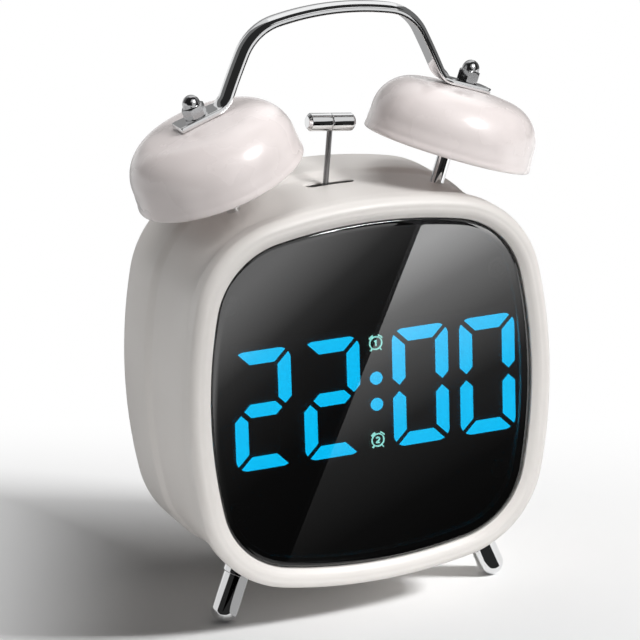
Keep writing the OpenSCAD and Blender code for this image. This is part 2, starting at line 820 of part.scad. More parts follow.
module case_screws() {
  color("silver") stand() four(tunnel_x, tunnel_y) translate([0, 0, -carrier_back - tunnel_web])
    screw(case_head_r, 1.8, case_screw_r - touch_gap, tunnel_web + 3, true);
}

// Battery door: its lower edge is rolled about the hinge line and carries a pin at each end
module battery_door() {
  grip_w = 16;
  grip_r = 9;
  color("linen") stand() difference() {
    union() {
      block(0, (hinge_y + door_top) / 2, door_w, door_top - hinge_y, door_depth, door_depth + door_t);
      translate([-door_w / 2, hinge_y, -hinge_depth]) rotate([0, 90, 0]) cylinder(r = hinge_r, h = door_w);
      translate([-door_w / 2 - hinge_pin_l, hinge_y, -hinge_depth]) rotate([0, 90, 0])
        cylinder(r = hinge_pin_r, h = door_w + 2 * hinge_pin_l);
    }
    translate([-grip_w / 2, door_top - 3, -case_depth - grip_r + 0.7]) rotate([0, 90, 0])
      cylinder(r = grip_r, h = grip_w);
  }
}

module battery_cells() {
  nub_r = 1.9;
  nub_l = 0.8;
  color("goldenrod") stand() for (i = [0:cell_count - 1]) {
    turn = i % 2 == 0 ? 1 : -1;
    translate([turn * (spring_l - plate_t) / 2, cell_y[i], -cell_depth])
      rotate([0, turn * 90, 0]) {
        translate([0, 0, -cell_l / 2]) cylinder(r = cell_r, h = cell_l - nub_l);
        translate([0, 0, cell_l / 2 - nub_l]) cylinder(r = nub_r, h = nub_l);
      }
  }
}

// Battery contacts: a flat plate at each cell's tip and a coned spring on a plate at its base
module battery_contacts() {
  plate = 8;
  color("silver") stand() for (i = [0:cell_count - 1]) {
    turn = i % 2 == 0 ? 1 : -1;
    translate([0, cell_y[i], -cell_depth]) {
      translate([turn * (bay_in_w - plate_t) / 2, 0, 0]) cube([plate_t, plate, plate], center = true);
      translate([-turn * (bay_in_w - plate_t) / 2, 0, 0]) {
        cube([plate_t, plate, plate], center = true);
        rotate([0, turn * 90, 0]) cylinder(r1 = 3.8, r2 = 2.4, h = spring_l - 0.1);
      }
    }
  }
}

// Button board, fixed on two posts of the rear cover, and its switches
module button_board() {
  color("darkgreen") stand() difference() {
    block(0, button_y, 2 * key_post_x + 6, key_board_h, key_board_front, key_board_back);
    pair(key_post_x) bar(0, button_y, small_hole_r, key_board_front - past, key_board_back + past);
  }
}

module button_switches() {
  color([0.2, 0.2, 0.22]) stand() for (i = [-2:2]) difference() {
    block(i * button_pitch, button_y, switch_w, switch_w, key_board_back, switch_top);
    bar(i * button_pitch, button_y, stem_r + seat_gap, switch_top - switch_bore, switch_top + past);
  }
}

// A push button: a cap with a bevelled rim, a flange that keeps it in, and a stem into its switch
module push_button(place) {
  rim = 0.6;
  x = place * button_pitch;
  top = case_depth + button_out;
  flange_back = cover_depth - touch_gap;
  color([0.9, 0.88, 0.85]) stand() {
    bar(x, button_y, button_r, flange_back, top - rim);
    translate([x, button_y, -top]) cylinder(r1 = button_r - rim, r2 = button_r, h = rim);
    bar(x, button_y, button_r + button_flange, flange_back - button_flange_t, flange_back);
    bar(x, button_y, stem_r, switch_top - stem_in, flange_back - button_flange_t);
  }
}

module time_button() push_button(-2);
module alarm_one_button() push_button(-1);
module alarm_two_button() push_button(0);
module up_button() push_button(1);
module down_button() push_button(2);

module power_socket() {
  flange = 1.5;
  color("silver") stand() difference() {
    union() {
      block(socket_x, socket_y, socket_w, socket_h, case_depth - socket_d, case_depth - door_sink);
      block(socket_x, socket_y, socket_w + 2 * flange, socket_h + 2 * flange,
        cover_depth - 1, cover_depth - touch_gap);
    }
    block(socket_x, socket_y, socket_w - 2 * socket_wall, socket_h - 2 * socket_wall,
      case_depth - socket_d + 1, case_depth + past);
    block(socket_x, socket_y, socket_w - 4 * socket_wall, 0.7,
      case_depth - socket_d, case_depth + past);
  }
}

// A bell: a flat crown, round shoulders, a slight neck and a rolled lip, with a hole for the post's stud
module bell_section() {
  hole_a = acos(stud_hole_r / cap_r);
  polygon(concat(
    arc_points(0, bell_h - cap_r, cap_r, hole_a, shoulder_a, 6),
    arc_points(shoulder_x, shoulder_y, shoulder_r, shoulder_a, 0, 12),
    [[bell_r - neck_in, neck_h], [lip_r, lip_h], [lip_r, 0]],
    [[lip_r - bell_t, 0], [bell_r - neck_in - bell_t, neck_h]],
    arc_points(shoulder_x, shoulder_y, shoulder_r - bell_t, 0, shoulder_a, 12),
    arc_points(0, bell_h - cap_r, cap_r - bell_t, shoulder_a, hole_a, 6)
  ));
}

module bell(side) color("mistyrose") stand() on_post(side) rotate_extrude() bell_section();

module left_bell() bell(-1);
module right_bell() bell(1);

// A bell's post: a round bar with a stud at each end, for the nut in the case and the nut on the crown
module post() {
  shoulder = bell_h - bell_t - touch_gap;
  stud_top = bell_h + tab_t + acorn_h;
  translate([0, 0, post_step + touch_gap]) cylinder(r = post_r, h = shoulder - post_step - touch_gap);
  stud_end = post_boss_end - nut_h - stud_past;
  translate([0, 0, stud_end]) cylinder(r = stud_r, h = stud_top - stud_end);
}

module left_post() color("silver") stand() on_post(-1) post();
module right_post() color("silver") stand() on_post(1) post();

module post_nuts() {
  color("silver") stand() for (side = [-1, 1])
    on_post(side) translate([0, 0, post_boss_end - nut_h]) hex_nut(nut_h, thread_r);
}

// Handle: a bar with a round top bent over the bells, its ends pressed flat and drilled for the studs
module bar_section() {
  crown = bar_t - bar_side;
  round_r = (bar_w * bar_w / 4 + crown * crown) / (2 * crown);
  round_a = asin(bar_w / 2 / round_r);
  polygon(concat(
    [[0, -bar_w / 2]],
    arc_points(bar_t - round_r, 0, round_r, -round_a, round_a, 14),
    [[0, bar_w / 2]]
  ));
}

// A slab in the plane of the arch, of a width across the bar
module across(w) translate([0, 0, -bell_depth - w / 2]) linear_extrude(w) children();

module arch_piece(centre, r, from, sweep, flip) {
  shift([centre[0], centre[1], -bell_depth])
    rotate_extrude(angle = sweep, start = from)
      shift([r, 0]) mirror([flip ? 1 : 0, 0]) bar_section();
}

// One half of the handle: upper corner, side and bend, which runs into a ramp and the flat tab, short of
// lying level with it
module handle_half() {
  along = [cos(bell_tilt), -sin(bell_tilt)];
  arch_piece(grip_corner, grip_corner_r, side_to, grip_from - side_to, false);
  arch_piece(side_mid, long_side_r, side_from, side_to - side_from, false);
  arch_piece(bend_mid, bend_r, 270 - side_slope, side_slope - bell_tilt - bend_short, true);
  inner = bend_from - ramp_l * along;
  ramp_end = bend_from + ramp_l * along;
  tab_end = tab_at + tab_out * along;
  across(bar_w - seat_gap) polygon([
    bend_from + tab_t / 2 * bell_dir,
    ramp_end + tab_t / 2 * bell_dir,
    ramp_end + tab_t * bell_dir,
    bend_from - ramp_start * along + ramp_top * bell_dir,
    inner + ramp_top * bell_dir,
    inner + bar_t / 2 * bell_dir
  ]);
  tab_start = bend_from - tab_lap * along;
  across(tab_w) polygon([tab_start, tab_end, tab_end + tab_t * bell_dir, tab_start + tab_t * bell_dir]);
}

module handle() {
  color("silver") stand() difference() {
    union() {
      arch_piece([0, grip_y], grip_r, grip_from, 180 - 2 * grip_from, false);
      handle_half();
      mirror([1, 0, 0]) handle_half();
    }
    for (side = [-1, 1]) on_post(side) cylinder(r = stud_hole_r, h = bell_h + 2 * tab_t);
  }
}

// Acorn nuts: a hexagon, a neck and a dome, with a blind bore for the stud
module acorn_nuts() {
  color("silver") stand() for (side = [-1, 1])
    on_post(side) translate([0, 0, bell_h + tab_t]) difference() {
    union() {
      cylinder(r = nut_r, h = acorn_h, $fn = 6);
      cylinder(r = acorn_dome_r, h = acorn_h + 1);
      translate([0, 0, acorn_h + 1]) sphere(r = acorn_dome_r);
    }
    translate([0, 0, -past]) cylinder(r = thread_r, h = acorn_h + past + touch_gap);
  }
}

// A leg: a chrome bar with a collar at the case, a stud into it and a rounded tip, ground flat at the table
module leg_section() {
  stud_end = -leg_boss_l - nut_h - stud_past;
  polygon(concat(
    [[0, stud_end], [stud_r, stud_end], [stud_r, touch_gap - leg_sink], [collar_r, touch_gap - leg_sink]],
    [[collar_r, collar_h - collar_edge], [collar_r - collar_edge, collar_h], [leg_r, collar_h]],
    arc_points(0, leg_l, leg_round, 0, 90, 10)
  ));
}

module table_cut() translate([-below * 2, -below * 2, -below]) cube([below * 4, below * 4, below]);

module leg(side) color("silver") difference() {
  stand() on_leg(side) rotate_extrude() leg_section();
  table_cut();
}

module left_leg() leg(-1);
module right_leg() leg(1);

module leg_nuts() {
  color("silver") stand() for (side = [-1, 1])
    on_leg(side) translate([0, 0, -leg_boss_l - nut_h]) hex_nut(nut_h, thread_r);
}

// Rear foot: a rounded pad shaped to the case's underside, with a peg into it
module rear_foot() {
  under = -half_h - flange_out;
  color("dimgray") difference() {
    stand() {
      difference() {
        translate([0, under + 2, -foot_depth]) rotate([90, 0, 0])
          linear_extrude(foot_drop) foot_plan();
        translate([0, -top_cy, -foot_depth - foot_d])
          cylinder(r = top_bow_r + flange_out + touch_gap, h = 2 * foot_d, $fn = 360);
      }
      translate([0, under - past, -foot_depth]) rotate([-90, 0, 0])
        cylinder(r = foot_peg_r, h = foot_peg_l + past);
    }
    table_cut();
  }
}

module foot_plan() {
  square([foot_w - 2 * foot_corner, foot_d], center = true);
  square([foot_w, foot_d - 2 * foot_corner], center = true);
  for (sx = [-1, 1], sy = [-1, 1])
    translate([sx * (foot_w / 2 - foot_corner), sy * (foot_d / 2 - foot_corner)]) circle(r = foot_corner);
}

// The frame of the hammer: y up the tilted rod, from the pivot
module on_hammer() {
  translate([pivot_x, pivot_y, -hammer_depth]) rotate([0, 0, -hammer_tilt]) children();
}

// Hammer: a bevelled round head across the top of a thin rod
module hammer_head() {
  half = head_l / 2;
  groove = 0.15;
  color("silver") stand() on_hammer() translate([0, head_up, 0]) difference() {
    rotate([0, 90, 0]) rotate_extrude() polygon([
      [0, -half], [head_r - head_bevel, -half], [head_r, head_bevel - half],
      [head_r, -groove], [head_r - groove, 0], [head_r, groove],
      [head_r, half - head_bevel], [head_r - head_bevel, half], [0, half]
    ]);
    rotate([90, 0, 0]) cylinder(r = rod_r + run_gap, h = head_r + past);
  }
}

module hammer_rod() {
  color("silver") stand() on_hammer() translate([0, rod_start + touch_gap, 0]) rotate([-90, 0, 0])
    cylinder(r = rod_r, h = head_up - rod_start - 2 * touch_gap);
}

// Hammer lever: a hub on the pivot pin, a socket for the rod above and a fork for the crank pin below
module hammer_lever() {
  fork_w = 2 * (fork_half + fork_wall);
  fork_top = crank_drop - crank_pin_r - fork_gap - 0.6;
  fork_l = crank_drop + crank_e + crank_pin_r + fork_end;
  color("whitesmoke") stand() difference() {
    union() {
      bar(pivot_x, pivot_y, hub_r, lever_front, lever_back);
      on_hammer() rotate([-90, 0, 0]) cylinder(r = lever_t / 2, h = socket_l);
      translate([pivot_x - fork_w / 2, pivot_y - fork_l, -lever_back]) cube([fork_w, fork_l, lever_t]);
    }
    bar(pivot_x, pivot_y, pivot_r + run_gap, hammer_depth - lever_t, lever_back + past);
    on_hammer() translate([0, rod_start, 0]) rotate([-90, 0, 0])
      cylinder(r = rod_r + run_gap / 2, h = socket_l);
    translate([pivot_x - fork_half, pivot_y - fork_l - past, -lever_back - past])
      cube([2 * fork_half, fork_l - fork_top + past, lever_t + 2 * past]);
  }
}

// Pivot pin: pressed into the bracket, with a head that keeps the lever on
module pivot_pin() {
  color("silver") stand() {
    bar(pivot_x, pivot_y, pivot_r, lever_front - pivot_play, bracket_back);
    bar(pivot_x, pivot_y, pivot_head_r, lever_front - pivot_play - pivot_head_t, lever_front - pivot_play);
    bar(pivot_x, pivot_y, pivot_head_r, lever_back + pivot_play, bracket_depth);
  }
}

module hammer_bracket() {
  ear = 2 * bracket_half;
  color("lightgray") stand() difference() {
    union() {
      block(pivot_x, crank_y, ear, bracket_w, bracket_depth, bracket_back);
      pair(bracket_half) bar(pivot_x, crank_y, bracket_w / 2, bracket_depth, bracket_back);
      block(pivot_x, (pivot_y + crank_y) / 2, bracket_w, pivot_y - crank_y, bracket_depth, bracket_back);
      bar(pivot_x, pivot_y, bracket_w / 2, bracket_depth, bracket_back);
    }
    bar(pivot_x, pivot_y, pivot_r + touch_gap, bracket_depth - past, bracket_back + past);
    bar(pivot_x, crank_y, motor_boss_r + touch_gap, bracket_depth - past, bracket_back + past);
    pair(bracket_half)
      bar(pivot_x, crank_y, bracket_screw_r + screw_gap, bracket_depth - past, bracket_back + past);
  }
}

module bracket_screws() {
  color("silver") stand() pair(bracket_half) translate([pivot_x, crank_y, -bracket_depth])
    screw(bracket_head_r, bracket_head_h, bracket_screw_r, bracket_t + bracket_bite, false);
}

// Hammer motor: a round can with a nose through the bracket, a bore for its shaft and two lugs behind
module hammer_motor() {
  back = bracket_back + motor_l;
  color("gainsboro") stand() difference() {
    union() {
      bar(pivot_x, crank_y, motor_r - motor_edge, bracket_back, back);
      bar(pivot_x, crank_y, motor_r, bracket_back + motor_edge, back - 2 * motor_edge);
      bar(pivot_x, crank_y, motor_boss_r, bracket_depth + touch_gap, bracket_back + past);
      bar(pivot_x, crank_y, motor_tail_r, back - past, back + motor_tail_l);
      pair(motor_lug_x)
        block(pivot_x, crank_y, motor_lug_t, motor_lug_w, back - past, back + motor_lug_l);
    }
    bar(pivot_x, crank_y, shaft_r + run_gap, bracket_depth - past, bracket_back + shaft_in + 1);
  }
}

// Crank wheel: a disc on the motor's shaft, with a pin that works in the lever's fork
module crank_wheel() {
  color("whitesmoke") stand() {
    bar(pivot_x, crank_y, disc_r, disc_depth, disc_depth + disc_t);
    bar(pivot_x, crank_y, shaft_r, disc_depth + disc_t / 2, bracket_back + shaft_in);
    bar(pivot_x, crank_y - crank_e, crank_pin_r, lever_front - pivot_play, disc_depth + disc_t / 2);
  }
}

front_bezel();
lens();
lens_tape();
display_carrier();
lit_segments();
unlit_segments();
main_board();
board_chips();
board_screws();
case_shell();
rear_cover();
case_screws();
battery_door();
battery_cells();
battery_contacts();
button_board();
button_switches();
time_button();
alarm_one_button();
alarm_two_button();
up_button();
down_button();
power_socket();
left_bell();
right_bell();
left_post();
right_post();
post_nuts();
handle();
acorn_nuts();
left_leg();
right_leg();
leg_nuts();
rear_foot();
hammer_head();
hammer_rod();
hammer_lever();
pivot_pin();
hammer_bracket();
bracket_screws();
hammer_motor();
crank_wheel();
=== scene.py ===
# %% [markdown]
# # A twin-bell alarm clock with a digital face
# The real clock is a cream moulded case with two enamelled bells, a chrome handle and a hammer between
# the bells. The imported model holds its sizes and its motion. This lesson dresses that model: it lays
# smooth surfaces over the main forms, gives every piece a finish, and lights it on a pale table.
# Each surface is worked out with numpy from the same few sizes that the solids have.

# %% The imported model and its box
import math

import bpy
import numpy as np
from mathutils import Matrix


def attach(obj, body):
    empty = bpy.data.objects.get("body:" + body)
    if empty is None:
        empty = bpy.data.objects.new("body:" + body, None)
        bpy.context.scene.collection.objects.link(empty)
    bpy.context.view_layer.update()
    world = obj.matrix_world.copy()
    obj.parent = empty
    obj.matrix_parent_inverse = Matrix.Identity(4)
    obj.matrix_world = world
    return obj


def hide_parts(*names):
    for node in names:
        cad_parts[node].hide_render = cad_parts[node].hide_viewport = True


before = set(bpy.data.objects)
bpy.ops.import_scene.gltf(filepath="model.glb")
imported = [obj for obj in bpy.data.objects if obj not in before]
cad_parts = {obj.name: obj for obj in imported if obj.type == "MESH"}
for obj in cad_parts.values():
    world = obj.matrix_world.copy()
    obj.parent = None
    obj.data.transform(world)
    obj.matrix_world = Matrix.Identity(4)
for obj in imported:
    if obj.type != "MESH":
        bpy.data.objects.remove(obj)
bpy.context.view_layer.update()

# %% [markdown]
# The clock's face leans back a little, so everything is drawn in the face's own frame first: x to the
# right, y up the face, and depth behind the lens's front, in millimetres. One function then leans that
# frame and sets it on the table, in metres. Working this way keeps the later formulas short, because
# the bells, the legs and the case are all square to the face and not to the table.

# %% From the face's frame to the table
LEAN = math.radians(4.2)
STAND_Y = -25.58112
FACE_HEIGHT = 62.61648


def on_table(x, y, depth):
    """Turns the face's frame back by the lean, lifts it to its height, and goes from mm to metres."""
    x, y, depth = np.broadcast_arrays(x, y, depth)
    back = STAND_Y + y * math.sin(LEAN) + depth * math.cos(LEAN)
    up = FACE_HEIGHT + y * math.cos(LEAN) - depth * math.sin(LEAN)
    return np.stack([x, back, up], -1) / 1000.0


print("middle of the lens", on_table(0.0, 0.0, 0.0))

# %% [markdown]
# Every new piece is a grid of points, closed on itself. Three short helpers turn grids into meshes:
# one lists the quads of a grid, one joins points that coincide, as at the pole of a dome, and one makes
# the object, hangs it on its body and hides the solid it stands for. A face points outwards when the
# volume that the faces enclose comes out positive, so that sum decides which way round they go.

# %% Grids to meshes
def grid_quads(rows, cols, wrap_rows=False, wrap_cols=False):
    """Quads between neighbours of a grid of points; a wrapped side joins its last line to its first."""
    r = np.arange(rows if wrap_rows else rows - 1)
    c = np.arange(cols if wrap_cols else cols - 1)
    r, c = np.meshgrid(r, c, indexing="ij")
    r2, c2 = (r + 1) % rows, (c + 1) % cols
    return np.stack([r * cols + c, r * cols + c2, r2 * cols + c2, r2 * cols + c], -1).reshape(-1, 4)


def closed_shell(points, quads):
    """Joins equal points, makes a quad with two equal corners a triangle, and turns the faces outwards."""
    points = np.asarray(points, float).reshape(-1, 3)
    _, first, where = np.unique(
        np.round(points * 1e7).astype(np.int64), axis=0, return_index=True, return_inverse=True)
    points, quads = points[first], where.reshape(-1)[quads]
    same = quads == np.roll(quads, -1, axis=1)
    whole = quads[same.sum(1) == 0]
    folded = same.sum(1) == 1
    thirds = quads[folded][~same[folded]].reshape(-1, 3)
    fans = np.concatenate([whole[:, [0, 1, 2]], whole[:, [0, 2, 3]], thirds])
    a, b, c = (points[fans[:, i]] for i in range(3))
    volume = np.einsum("ij,ij->i", a - points.mean(0), np.cross(b - points.mean(0), c - points.mean(0))).sum()
    if volume < 0:
        whole, thirds = whole[:, ::-1], thirds[:, ::-1]
    return points, whole, thirds, abs(volume) / 6


def make_piece(name, shells, finish, body, nodes=(), sharp=32):
    """One object of one or more closed shells, at the origin, with its place in its mesh."""
    points, faces, start, volume = [], [], 0, 0.0
    for shell in shells:
        p, q, t, v = closed_shell(*shell)
        points.append(p)
        faces += (q + start).tolist() + (t + start).tolist()
        start += len(p)
        volume += v
    mesh = bpy.data.meshes.new(name)
    mesh.from_pydata(np.concatenate(points).tolist(), [], faces)
    mesh.polygons.foreach_set("use_smooth", np.ones(len(mesh.polygons), bool))
    mesh.set_sharp_from_angle(angle=math.radians(sharp))
    mesh.materials.append(finish)
    obj = bpy.data.objects.new(name, mesh)
    bpy.context.scene.collection.objects.link(obj)
    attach(obj, body)
    if nodes:
        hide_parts(*nodes)
    print(name, len(mesh.polygons), "faces", round(volume * 1e9, 1), "mm3")
    return obj


# %% [markdown]
# Profiles come next. A moulded edge is never a knife edge, so a corner of a profile is replaced by a
# short curve that leaves one side and joins the other, with a support point just before and after it.
# The support points keep the flat faces flat in the shading.

# %% Profile helpers
SUPPORT = 0.3


def soft_corner(before, corner, after, cut, steps=5):
    """A corner as a parabola: it starts and ends at a distance cut from the corner, on its two sides.
    A support point lies before and after it, further out by a share of the cut."""
    before, corner, after = (np.asarray(p, float) for p in (before, corner, after))
    start = corner + (before - corner) / np.linalg.norm(before - corner) * cut
    end = corner + (after - corner) / np.linalg.norm(after - corner) * cut
    t = np.linspace(0.0, 1.0, steps)[:, None]
    curve = (1 - t) ** 2 * start + 2 * t * (1 - t) * corner + t ** 2 * end
    lead = start + (start - corner) * SUPPORT
    tail = end + (end - corner) * SUPPORT
    return np.concatenate([lead[None], curve, tail[None]])


def arc(x, y, r, start, end, steps):
    """Points of a circular arc, from one angle to another, in degrees."""
    a = np.radians(np.linspace(start, end, steps))
    return np.stack([x + r * np.cos(a), y + r * np.sin(a)], -1)


def smooth_step(start, end, steps):
    """Moves along the second value evenly, and along the first by half a cosine wave."""
    t = np.linspace(0.0, 1.0, steps)
    return np.stack([start[0] + (end[0] - start[0]) * (1 - np.cos(np.pi * t)) / 2,
                     start[1] + (end[1] - start[1]) * t], -1)


print("a softened corner has", len(soft_corner((0, 0), (1, 0), (1, 1), 0.2)), "points")

# %% [markdown]
# ## Finishes
# Two effects are shared. Moulded and enamelled surfaces have a very fine relief and a tone that drifts
# a little over the surface, and everything that is handled has patches where its gloss is duller.
# Both are node groups, built once, so that each finish only sets its own values. They read Object
# coordinates, because every piece keeps its place in its mesh and the pattern then stays put.

# %% Shared effects
TONE_SCALE = 0.012


def new_group(name, inputs, outputs):
    """An empty shader node group with float or vector inputs and float outputs."""
    tree = bpy.data.node_groups.new(name, "ShaderNodeTree")
    for label, kind, value in inputs:
        socket = tree.interface.new_socket(label, in_out="INPUT", socket_type=kind)
        if kind == "NodeSocketFloat":
            socket.default_value = value
    for label in outputs:
        tree.interface.new_socket(label, in_out="OUTPUT", socket_type="NodeSocketFloat")
    return tree, tree.nodes.new("NodeGroupInput"), tree.nodes.new("NodeGroupOutput")


def maths(tree, operation, *values):
    """A Math node; each value is a plain number, which is set, or a socket, which is linked."""
    node = tree.nodes.new("ShaderNodeMath")
    node.operation = operation
    for socket, value in zip(node.inputs, values):
        if isinstance(value, (int, float)):
            socket.default_value = value
        else:
            tree.links.new(value, socket)
    return node.outputs[0]


def noise(tree, vector, scale, detail):
    """A noise texture whose scale comes from a socket."""
    node = tree.nodes.new("ShaderNodeTexNoise")
    node.inputs["Detail"].default_value = detail
    tree.links.new(vector, node.inputs["Vector"])
    tree.links.new(scale, node.inputs["Scale"])
    return node.outputs["Fac"]


def build_moulded_grain():
    """Height is a fine noise at the given scale; Tone is a slow drift at about a hundredth of that scale."""
    tree, gin, gout = new_group(
        "moulded_grain", [("Vector", "NodeSocketVector", 0), ("Scale", "NodeSocketFloat", 2500.0)],
        ["Height", "Tone"])
    slow = maths(tree, "MULTIPLY", gin.outputs["Scale"], TONE_SCALE)
    fine = noise(tree, gin.outputs["Vector"], gin.outputs["Scale"], 2.0)
    tone = noise(tree, gin.outputs["Vector"], slow, 3.0)
    tree.links.new(fine, gout.inputs["Height"])
    tree.links.new(tone, gout.inputs["Tone"])
    return tree


def build_handled_gloss():
    """Roughness runs from Low to High with a soft noise, as finger marks dull a polished surface."""
    tree, gin, gout = new_group(
        "handled_gloss",
        [("Vector", "NodeSocketVector", 0), ("Scale", "NodeSocketFloat", 60.0),
         ("Low", "NodeSocketFloat", 0.1), ("High", "NodeSocketFloat", 0.2)],
        ["Roughness"])
    spread = tree.nodes.new("ShaderNodeMapRange")
    spread.inputs["From Min"].default_value = 0.35
    spread.inputs["From Max"].default_value = 0.7
    tree.links.new(noise(tree, gin.outputs["Vector"], gin.outputs["Scale"], 4.0), spread.inputs["Value"])
    tree.links.new(gin.outputs["Low"], spread.inputs["To Min"])
    tree.links.new(gin.outputs["High"], spread.inputs["To Max"])
    tree.links.new(spread.outputs["Result"], gout.inputs["Roughness"])
    return tree


MOULDED_GRAIN = build_moulded_grain()
HANDLED_GLOSS = build_handled_gloss()
print("shared effects", MOULDED_GRAIN.name, HANDLED_GLOSS.name)

# %% [markdown]
# A finish is a Principled shader with those effects on its sockets. One recipe serves most of them:
# two close colours mixed by the slow tone, a roughness between two values, and a bump from the grain.
# What is the same all over a surface is set straight on the shader.

# %% The recipe for a finish
def place_group(tree, group, **values):
    """Places a shared effect in a material with its own values, on Object coordinates."""
    node = tree.nodes.new("ShaderNodeGroup")
    node.node_tree = group
    where = tree.nodes.get("Texture Coordinate") or tree.nodes.new("ShaderNodeTexCoord")
    tree.links.new(where.outputs["Object"], node.inputs["Vector"])
    for label, value in values.items():
        node.inputs[label].default_value = value
    return node


def new_material(name):
    """A material, its node tree and its Principled shader."""
    mat = bpy.data.materials.new(name)
    mat.use_nodes = True
    return mat, mat.node_tree, mat.node_tree.nodes["Principled BSDF"]


def set_plain(shader, **values):
    """Sets what is the same all over a surface; an underscore in a name stands for a space."""
    for label, value in values.items():
        shader.inputs[label.replace("_", " ")].default_value = value


def colour_mix(tree, share, first, second):
    """Goes from the first colour to the second while the share goes from nought to one."""
    mix = tree.nodes.new("ShaderNodeMix")
    mix.data_type = "RGBA"
    mix.inputs[6].default_value = (*first, 1.0)
    mix.inputs[7].default_value = (*second, 1.0)
    tree.links.new(share, mix.inputs["Factor"])
    return mix.outputs[2]


def finish(name, light, dark, rough, grain=2500.0, relief=0.00001, strength=0.15, marks=60.0, **constants):
    """A finish: light and dark mixed by the tone, rough = (low, high), and the grain as a bump."""
    mat, tree, shader = new_material(name)
    grain_node = place_group(tree, MOULDED_GRAIN, Scale=grain)
    gloss_node = place_group(tree, HANDLED_GLOSS, Scale=marks, Low=rough[0], High=rough[1])
    tree.links.new(colour_mix(tree, grain_node.outputs["Tone"], dark, light), shader.inputs["Base Color"])
    tree.links.new(gloss_node.outputs["Roughness"], shader.inputs["Roughness"])
    bump = tree.nodes.new("ShaderNodeBump")
    bump.inputs["Strength"].default_value = strength
    bump.inputs["Distance"].default_value = relief
    tree.links.new(grain_node.outputs["Height"], bump.inputs["Height"])
    tree.links.new(bump.outputs["Normal"], shader.inputs["Normal"])
    set_plain(shader, **constants)
    print("finish", name)
    return mat


CASE_PLASTIC = finish("case_plastic", (0.775, 0.745, 0.715), (0.745, 0.712, 0.682), (0.36, 0.46),
                      grain=3200.0, relief=0.00002, strength=0.25)
BELL_ENAMEL = finish("bell_enamel", (0.82, 0.75, 0.735), (0.80, 0.73, 0.715), (0.26, 0.29),
                     grain=700.0, relief=0.00002, strength=0.05, Coat_Weight=0.6, Coat_Roughness=0.19)
CHROME = finish("chrome", (0.80, 0.805, 0.81), (0.76, 0.765, 0.77), (0.04, 0.1),
                grain=900.0, relief=0.000005, strength=0.05, marks=140.0, Metallic=1.0)
ZINC_STEEL = finish("zinc_steel", (0.62, 0.63, 0.65), (0.52, 0.53, 0.55), (0.24, 0.4),
                    grain=2200.0, Metallic=1.0)
NUT_NICKEL = finish("nut_nickel", (0.46, 0.46, 0.465), (0.41, 0.41, 0.415), (0.08, 0.16), Metallic=1.0)
ROD_STEEL = finish("rod_steel", (0.34, 0.34, 0.345), (0.29, 0.29, 0.295), (0.28, 0.4),
                   grain=2200.0, Metallic=1.0)
MOTOR_CAN = finish("motor_can", (0.66, 0.66, 0.65), (0.58, 0.58, 0.57), (0.3, 0.45),
                   grain=1800.0, Metallic=1.0)
FOOT_RUBBER = finish("foot_rubber", (0.055, 0.055, 0.057), (0.04, 0.04, 0.042), (0.7, 0.85),
                     grain=4000.0, relief=0.00003, strength=0.4)
TAPE_BLACK = finish("tape_black", (0.012, 0.012, 0.012), (0.008, 0.008, 0.008), (0.8, 0.9), grain=3000.0)
DISPLAY_BLACK = finish("display_black", (0.004, 0.004, 0.0045), (0.003, 0.003, 0.0035), (0.6, 0.7),
                       grain=3000.0)
SEGMENT_OFF = finish("segment_off", (0.006, 0.007, 0.008), (0.005, 0.006, 0.007), (0.5, 0.6), grain=3000.0)
BOARD_GREEN = finish("board_green", (0.022, 0.12, 0.05), (0.015, 0.09, 0.036), (0.3, 0.45), grain=1500.0)
CHIP_BLACK = finish("chip_black", (0.03, 0.03, 0.032), (0.02, 0.02, 0.022), (0.5, 0.65), grain=3500.0)
CELL_WRAP = finish("cell_wrap", (0.55, 0.38, 0.10), (0.48, 0.32, 0.08), (0.2, 0.32), grain=900.0)
BUTTON_PLASTIC = finish("button_plastic", (0.70, 0.672, 0.65), (0.672, 0.642, 0.62), (0.34, 0.46),
                        grain=3000.0, relief=0.00002, strength=0.25)
LEVER_ACETAL = finish("lever_acetal", (0.82, 0.815, 0.79), (0.78, 0.775, 0.75), (0.35, 0.5), grain=2600.0)

# %% [markdown]
# The smoked lens is clear acrylic with a grey dye, so it is a transmitting shader with a dark colour
# and a plain gloss. The digits behind it are lit. Their light is blue, except that the two small alarm
# signs in the middle column are mint green, so the colour is chosen by where a point lies on the face.
# A black plate with bright digits on it would look alike from the front, but not at the lens's edge.

# %% Lens and digits
DIGIT_BLUE, SIGN_MINT = (0.0, 0.58, 1.0), (0.32, 0.83, 0.72)
COLUMN_X, COLUMN_HALF, COLON_HALF = 0.0015, 0.0040, 0.0085


def smoked_lens():
    """Transmits through a grey colour, with a smooth surface and the refraction of acrylic."""
    mat, _, shader = new_material("lens_smoke")
    set_plain(shader, Base_Color=(0.05, 0.05, 0.052, 1.0), Roughness=0.01, IOR=1.49,
              Transmission_Weight=1.0, Coat_Weight=1.0, Coat_Roughness=0.01)
    return mat


